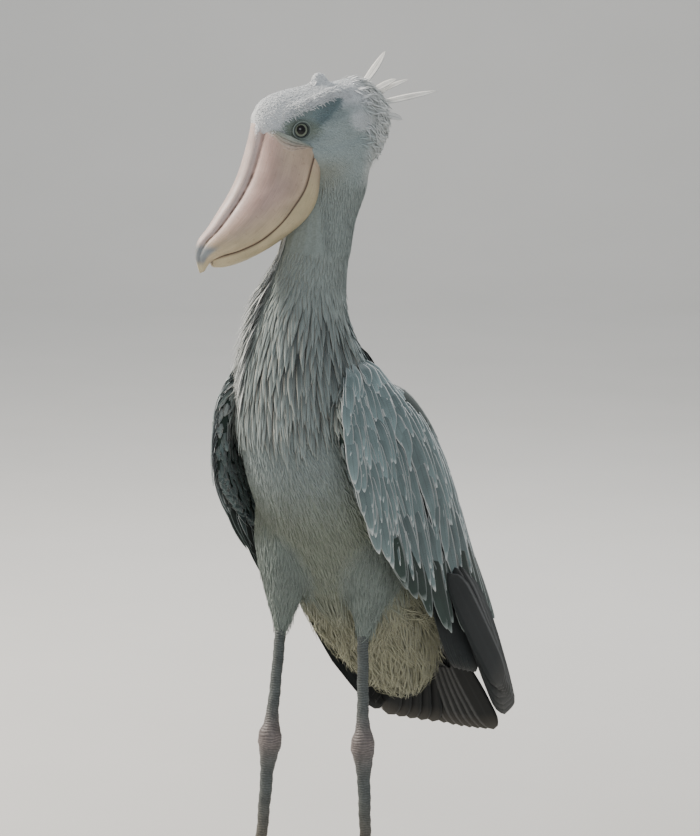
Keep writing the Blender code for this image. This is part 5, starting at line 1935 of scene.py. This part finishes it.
def forehead_coat(fold, chance, surface):
    """Fine white feathers that run from the forehead down over the bill's root."""
    def keep(points, normals):
        local = head_local(points)
        return (local[:, 0] > 0.036) & (local[:, 2] > -0.034) & (np.abs(local[:, 1]) < 0.030)
    skin = Skin(fold)
    places, normals = scattered(skin, chance, 2600, keep, 0.0016)
    outward = head_local(places + normals) - head_local(places)
    local = head_local(places)
    low = smooth(-local[:, 2], 0.004, 0.034)[:, None]
    tint = CROWN + (BILL_RIDGE - CROWN) * low
    thin = chance.random(len(places)) > low[:, 0] ** 0.6 * 0.9
    places, local, tint, outward = places[thin], local[thin], tint[thin], outward[thin]
    spots = spots_at(places, head_heading(local), tint, (0.97, 1.02, 0.03), chance)
    spots = {key: value[outward[:, 0] > -0.5] for key, value in spots.items()}
    size = (0.0048, 0.0015, 0.0003)
    return coat(skin, fold.name + "_feathers", spots, *size, surface, chance, rings=2, spread=0.25)


# Eyes and the skin round them

# Colours of the eye: the ball's own, then each with the angles from the gaze between which it
# sets in; where the second angle is the smaller one, it lies inside them.
EYE_BALL = linear("#8b9383")
EYE_RINGS = (
    ("#586059", 48, 58),
    ("#6f7768", 40, 33),
    ("#070808", 33.5, 31),
    ("#23282a", 58, 61),
)


def eye(side, surface):
    """An eyeball whose iris and pupil are painted by their angle from the gaze."""
    thing, ball = unit_ball(5)
    thing.name = "eyeball_" + SIDE_NAMES[side]
    gaze = unit(GAZE * (1, side, 1))
    angle = np.degrees(np.arccos(np.clip(ball @ gaze, -1, 1)))
    bulge = 1 + 0.05 * (1 - smooth(angle, 0, 62))
    middle = EYE_PLACE * (1, side, 1)
    move_points(thing, head_points(middle + ball * (EYE_RADIUS - 0.0004) * bulge[:, None]))
    thing.data.shade_smooth()
    colour = evenly(EYE_BALL, len(ball))
    for code, start, end in EYE_RINGS:
        share = smooth(angle, start, end) if start < end else 1 - smooth(angle, end, start)
        colour = toward(colour, linear(code), share)
    store_tint(thing, colour)
    thing.data.materials.append(surface)
    return thing


def loop_mesh(name, rings, material):
    """A closed loop of rings, an array of (rings, count, 3) points."""
    number, count = rings.shape[:2]
    i, j = np.meshgrid(np.arange(number), np.arange(count), indexing="ij")
    a = (i * count + j).ravel()
    b = (i * count + (j + 1) % count).ravel()
    c = ((i + 1) % number * count + (j + 1) % count).ravel()
    d = ((i + 1) % number * count + j).ravel()
    triangles = np.concatenate((np.stack((a, b, c), -1), np.stack((a, c, d), -1)))
    points = rings.reshape(-1, 3)
    p, q, r = (points[triangles[:, k]] for k in range(3))
    middle = points.mean(0)
    if np.einsum("ij,ij->i", np.cross(q - p, r - p), p - middle).sum() < 0:
        triangles = triangles[:, ::-1]
    return mesh_object(name, points, triangles, material)


# Rings of skin round the eye: half length, height to length, distance from the eye's
# middle, thickness, colour.
LID_RINGS = (
    (0.0106, 0.93, 0.0132, 0.0012, "#23282a"),
    (0.0121, 0.92, 0.0129, 0.0011, "#545f5c"),
    (0.0137, 0.90, 0.0119, 0.0009, "#87938d"),
)
LID_BASE = np.sqrt(LID_RINGS[0][2] ** 2 - LID_RINGS[0][0] ** 2)


def lids(side, surface):
    """Folded rims of skin round one eye, their edge broken by fine wrinkles."""
    things = []
    middle = EYE_PLACE * (1, side, 1)
    turn = turns_of(160)
    section = turns_of(12)[None, :, None]
    for index, (reach, flat, distance, thick, code) in enumerate(LID_RINGS):
        forward, up = reach * np.cos(turn), reach * flat * np.sin(turn)
        if index:
            aside = side * (LID_BASE + 0.0010 * index + 0.0006 * np.sin(turn) * index)
        else:
            aside = side * np.sqrt(np.maximum(distance ** 2 - (forward ** 2 + up ** 2), 0))
        path = head_points(middle + np.stack((forward, aside, up), -1))
        along = unit(np.roll(path, -1, 0) - np.roll(path, 1, 0))
        outward = unit(path - head_points(middle[None]))
        across = unit(np.cross(along, outward))
        radius = thick / 2 * (1 + 0.16 * np.sin(turn * 37 + index) + 0.10 * np.sin(turn * 61 + 2))
        round_it = across[:, None] * np.cos(section) * 1.5 + outward[:, None] * np.sin(section)
        rings = path[:, None] + radius[:, None, None] * round_it
        thing = loop_mesh("eyelid_%s_%d" % (SIDE_NAMES[side], index), rings, surface)
        store_tint(thing, evenly(linear(code), len(thing.data.vertices)))
        things.append(thing)
    return things


# Legs and feet

SCALES_AROUND = 13
FLOOR_CLEARANCE = 0.0003


def distance_along(path):
    """Distance of each point of a path from its start."""
    return np.concatenate(((0,), np.cumsum(np.linalg.norm(np.diff(path, axis=0), axis=1))))


def relief(stations, radii, count, aside, pitch, depth):
    """Rings of a limb with rows of raised scales."""
    rings = limb_rings(stations, radii, count, aside)
    length = distance_along(stations)[:, None]
    turns = turns_of(count)[None]
    bent = length / pitch + 0.25 * np.sin(2 * turns + length * 90) + 0.12 * np.sin(5 * turns - length * 230)
    wave = np.abs(np.sin(np.pi * bent)) ** 0.5
    shift = np.sin(np.floor(bent) * 12.9) * 6
    cross = np.abs(np.sin((turns * SCALES_AROUND + shift) / 2)) ** 0.4
    scale = wave * (0.70 + 0.30 * cross)
    lump = 0.5 * np.sin(2 * turns + length * 130) * np.sin(length * 260 + turns)
    direction = unit(rings - stations[:, None])
    return rings + direction * (depth * (scale - 0.6 + lump))[..., None], scale


def smooth_path(points, radii, count):
    """A limb's stations and radii at many even steps."""
    table = np.concatenate((np.array(points, float), np.array(radii, float)[:, None]), 1)
    length = distance_along(table[:, :3])
    places = np.linspace(0, length[-1], count)
    values = np.stack([np.interp(places, length, column) for column in table.T], -1)
    kernel = np.ones(9) / 9
    padded = np.concatenate((np.repeat(values[:1], 4, 0), values, np.repeat(values[-1:], 4, 0)))
    soft = np.stack([np.convolve(column, kernel, "valid") for column in padded.T], -1)
    soft[0], soft[-1] = values[0], values[-1]
    return soft[:, :3], soft[:, 3]


LEG_GREY = linear("#4b5150")
LEG_BROWN = linear("#62584a")
KNEE_TINT = linear("#706866")
# Down a leg: which line a place lies on, its share of the way along it, how far up it is moved,
# and the radius there. The lines run from ankle to knee, ankle to heel, and foot top to ankle.
LEG_ROWS = (
    ("shank", 1.0, 0.006, 0.0079),
    ("shank", 0.55, 0, 0.0079),
    ("shank", 0.25, 0, 0.0086),
    ("shank", 0.12, 0, 0.0112),
    ("shank", 0, 0.004, 0.0166),
    ("shank", 0, -0.010, 0.0172),
    ("tarsus", 0.10, 0, 0.0135),
    ("tarsus", 0.20, 0, 0.0094),
    ("tarsus", 0.55, 0, 0.0080),
    ("foot", 0.14, 0, 0.0083),
    ("foot", 0, 0, 0.0103),
    ("heel", 0, 0.018, 0.0165),
    ("heel", 0, 0.008, 0.0170),
    ("heel", 0, 0.0008, 0.0150),
)
# Toes: name, degrees out from straight ahead, length, thickness to the middle one's.
TOES = (
    ("middle", 4, 0.150, 1.0),
    ("inner", -34, 0.120, 0.92),
    ("outer", 36, 0.130, 0.92),
    ("hind", 172, 0.072, 0.85),
)
# Along a toe: share of its length, and height and radius to its thickness.
TOE_ROWS = np.array(((0.0, 1.2), (0.1, 1.15), (0.28, 1.0), (0.5, 0.95), (0.75, 0.85), (1.0, 0.7)))
CLAW_LENGTH = 0.022


def paint_leg(thing, scale, colour):
    """Colour a limb, its grooves darker than its scales."""
    store_tint(thing, with_ends((colour * (0.36 + 0.82 * scale[..., None])).reshape(-1, 3)))


def leg(side, surface):
    """Shank, ankle, tarsus and toes of one leg, with raised scales."""
    ankle, heel = ANKLES[side], HEELS[side]
    lines = {
        "shank": (ankle, KNEES[side] - ankle), "tarsus": (ankle, heel - ankle),
        "foot": (heel + (0, 0, FOOT_HEIGHT), ankle - heel), "heel": (heel, np.zeros(3)),
    }
    points = [lines[line][0] + lines[line][1] * share + (0, 0, up) for line, share, up, _ in LEG_ROWS]
    stations, radius = smooth_path(points, [row[3] for row in LEG_ROWS], 520)
    rings, scale = relief(stations, radius, 64, LEFTWARD, 0.0036, 0.0012)
    name = SIDE_NAMES[side]
    bone = tube("leg_" + name, rings, surface)
    z = rings[..., 2:3]
    colour = LEG_BROWN + (LEG_GREY - LEG_BROWN) * smooth(z, 0.02, 0.20)
    knob = np.exp(-((z - ankle[2]) / 0.030) ** 2)
    paint_leg(bone, scale, colour + (KNEE_TINT - colour) * knob)
    thing = joined([bone] + [toe(side, *row, surface) for row in TOES])
    thing.name = "leg_skin_" + name
    return thing


def toe_line(side, heading):
    turn = math.radians(heading) * side + FOOT_TURN[side]
    return np.array((math.sin(turn), -math.cos(turn), 0))


def toe(side, label, heading, length, thick, surface):
    radius = TOE_RADIUS * thick
    shares, rises = TOE_ROWS.T
    ahead = toe_line(side, heading) * (length * shares)[:, None]
    points = HEELS[side] + ahead + UPWARD * (radius * rises * 0.8)[:, None]
    count = int(length / 0.0008)
    stations, radii = smooth_path(points, radius * rises, count)
    place = np.linspace(0, 1, count)
    radii = radii * (1 + 0.07 * np.abs(np.sin(place * 3.5 * np.pi)) ** 0.5)
    rings, scale = relief(stations, radii, 40, UPWARD, 0.0040, 0.0008)
    rings[..., 2] = np.maximum(rings[..., 2], FLOOR_CLEARANCE)
    thing = tube("toe_%s_%s" % (SIDE_NAMES[side], label), rings, surface)
    paint_leg(thing, scale, np.broadcast_to(LEG_BROWN * 0.9, (*scale.shape, 3)))
    return thing


def claws(side, surface):
    """Curved claws of one foot, each its own piece."""
    things = []
    share = np.linspace(0, 1, 40)
    for label, heading, length, thick in TOES:
        along = toe_line(side, heading)
        size = TOE_RADIUS * thick * 0.62
        tip = HEELS[side] + along * (length + 0.0004)
        rise = size * 0.9 * (1 - share) + size * 0.6 * np.sin(np.pi * share) + 0.0010 * share
        stations = tip + along * (CLAW_LENGTH * share)[:, None] + UPWARD * rise[:, None]
        rings = limb_rings(stations, size * (1 - share ** 1.6) + 0.0007, 20, UPWARD)
        rings[..., 2] = np.maximum(rings[..., 2], FLOOR_CLEARANCE)
        things.append(tube("claw_horn_%s_%s" % (SIDE_NAMES[side], label), rings, surface))
    return things


# Stage

SWEEP_NEAR = -9.0
SWEEP_BEND = 7.6
SWEEP_RADIUS = 2.5
SWEEP_WALL = 10.1
SWEEP_SIDE = 9
SWEEP_TOP = 9.0


def sweep(surface):
    """A floor that curves up into the backdrop behind the bird."""
    behind = np.array((-math.sin(CAMERA_AZIMUTH), math.cos(CAMERA_AZIMUTH)))
    aside = np.array((behind[1], -behind[0]))
    turn = np.linspace(0, math.pi / 2, 24)
    far = np.concatenate(((SWEEP_NEAR,), SWEEP_BEND + SWEEP_RADIUS * np.sin(turn), (SWEEP_WALL,)))
    high = np.concatenate(((0.0,), SWEEP_RADIUS - SWEEP_RADIUS * np.cos(turn), (SWEEP_TOP,)))
    sides = (-SWEEP_SIDE, SWEEP_SIDE)
    points = [(*(behind * f + aside * w), h) for f, h in zip(far, high) for w in sides]
    faces = [(2 * k, 2 * k + 1, 2 * k + 3, 2 * k + 2) for k in range(len(far) - 1)]
    mesh = bpy.data.meshes.new("studio_sweep")
    mesh.from_pydata(points, [], faces)
    mesh.shade_smooth()
    mesh.materials.append(surface)
    new_object("studio_sweep", mesh)


def lamp(name, place, aim, size, watts, colour):
    light = bpy.data.lights.new(name, "AREA")
    light.shape = "DISK"
    light.size = size
    light.energy = watts
    light.color = linear(colour)
    thing = new_object(name, light)
    thing.location = place
    thing.rotation_euler = (Vector(place) - Vector(aim)).to_track_quat("Z", "Y").to_euler()


LAMP_AIM = (0, 0, 0.65)
# Lamps: name, place, aim, size, watts, colour.
LAMPS = (
    ("key_light", (-3.3, -1.1, 3.6), LAMP_AIM, 1.2, 420, "#fff6ea"),
    ("fill_light", (3.2, -3.4, 2.4), LAMP_AIM, 2.6, 75, "#f2f5fa"),
    ("rim_light", (-0.8, 3.0, 3.4), LAMP_AIM, 1.5, 130, "#ffffff"),
    ("backdrop_light", (-3.0, 4.6, 5.5), (-5.4, 8.4, 0.8), 3.0, 240, "#ffffff"),
)
SENSOR_HEIGHT = 36


def stage():
    """Plain pale floor and soft lights."""
    sweep(floor_material())
    for row in LAMPS:
        lamp(*row)
    world = bpy.data.worlds.new("studio_air")
    world.use_nodes = True
    backdrop = world.node_tree.nodes["Background"]
    backdrop.inputs["Color"].default_value = (*linear("#dfe3e6"), 1)
    backdrop.inputs["Strength"].default_value = 0.5
    bpy.context.scene.world = world


def camera():
    """The photograph's camera, its shift setting where the bird falls in the picture."""
    azimuth, elevation = CAMERA_AZIMUTH, CAMERA_ELEVATION
    level = math.cos(elevation)
    toward_camera = Vector((
        math.sin(azimuth) * level, -math.cos(azimuth) * level, math.sin(elevation),
    ))
    lens = bpy.data.cameras.new("photo_camera")
    thing = new_object("photo_camera", lens)
    thing.location = Vector(MIDDLE + ORIGIN) + toward_camera * CAMERA_DISTANCE
    thing.rotation_euler = toward_camera.to_track_quat("Z", "Y").to_euler()
    lens.sensor_fit = "VERTICAL"
    lens.sensor_height = SENSOR_HEIGHT
    lens.lens = FOCAL_PIXELS / PHOTO_HEIGHT * SENSOR_HEIGHT
    lens.shift_x = (PHOTO_WIDTH / 2 - MIDDLE_PIXEL[0]) / PHOTO_HEIGHT
    lens.shift_y = (MIDDLE_PIXEL[1] - PHOTO_HEIGHT / 2) / PHOTO_HEIGHT
    bpy.context.scene.camera = thing


def declare(things, slot, *nodes):
    """Fix pieces to the bird and hide the nodes that they stand for. The slot is not used."""
    for thing in things:
        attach(thing, "root")
        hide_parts(*nodes)


SEED = 7
# Each kind of feather: its edge's colour and how strong it is, how dark the shaft is, the rest.
VANES = {
    "breast_plume": ("#d9d6ca", 0.55, 0.35, {"barb_pitch": 0.0022}),
    "covert_vane": ("#e4e8e7", 0.90, 0.25, {"barb_pitch": 0.0026}),
    "secondary_vane": ("#b3bdbc", 0.60, 0.25, {}),
    "flight_vane": ("#4c5555", 0.18, 0.20, {"worn": 0.10}),
    "tail_vane": ("#454b4b", 0.30, 0.30, {"worn": 0.20}),
    "crest_vane": ("#e6e6e0", 0.5, 0.4, {}),
}
FLESH = ("head", "neck", "torso", "thigh_left", "thigh_right", "wing_left", "wing_right", "tail")


def build():
    chance = np.random.default_rng(SEED)
    soft = plumage_material("body_down", barb_pitch=0.0016, barb_depth=0.20, roughness=0.85, sheen=0.25)
    plume, covert, second, quill, rectrix, white = (
        plumage_material(name, linear(edge), amount, shaft, **others)
        for name, (edge, amount, shaft, others) in VANES.items()
    )
    leather = leg_material()

    skin_thing = build_skin(skin_material())
    declare([skin_thing], "body_plumage", *FLESH)
    skin = Skin(skin_thing)
    declare(head_coat(skin, chance, soft) + [brow_coat(skin, chance, soft)], "head_plumage", "head")
    declare([crest(white)], "head_plumage", "head")
    folds = face_folds(leather)
    declare(folds, "head_plumage", "head")
    declare([forehead_coat(fold, chance, soft) for fold in folds], "head_plumage", "head")
    declare([neck_coat(skin, chance, soft), ruff_coat(skin, chance, plume)], "body_plumage", "neck")
    body = [grow(skin, chance, soft) for grow in (belly_coat, vent_coat, back_coat)]
    body += [breast_coat(skin, chance, plume), vent_wisps(skin, chance, soft)] + mantle(chance, covert)
    declare([wing_coat(skin, chance, soft)], "wing_plumage", "wing_left", "wing_right")
    declare(body, "body_plumage", "torso")
    thighs = [thigh_coat(skin, chance, soft), thigh_wisps(skin, chance, soft)]
    declare(thighs, "body_plumage", "thigh_left", "thigh_right")
    surfaces = {"covert": covert, "secondary": second, "quill": quill}
    for side, name in SIDE_NAMES.items():
        declare(wing(side, chance, surfaces), "wing_plumage", "wing_" + name)
        nodes = ["shank_" + name, "tarsus_" + name, "foot_" + name]
        declare([leg(side, leather)], "leg_skin", *nodes)
        for claw, (label, *_) in zip(claws(side, claw_material()), TOES):
            declare([claw], "claw_horn", "claw_%s_%s" % (name, label))
        declare([eye(side, eye_material())], "eye", "eye_" + name)
        declare(lids(side, leather), "head_plumage", "head")
    declare([tail(rectrix), tail_coat(skin, chance, soft)], "tail_plumage", "tail")
    upper, lower = bill(horn_material())
    declare([upper], "bill_horn", "bill_upper")
    declare([lower], "bill_horn", "bill_lower")


build()
stage()
camera()
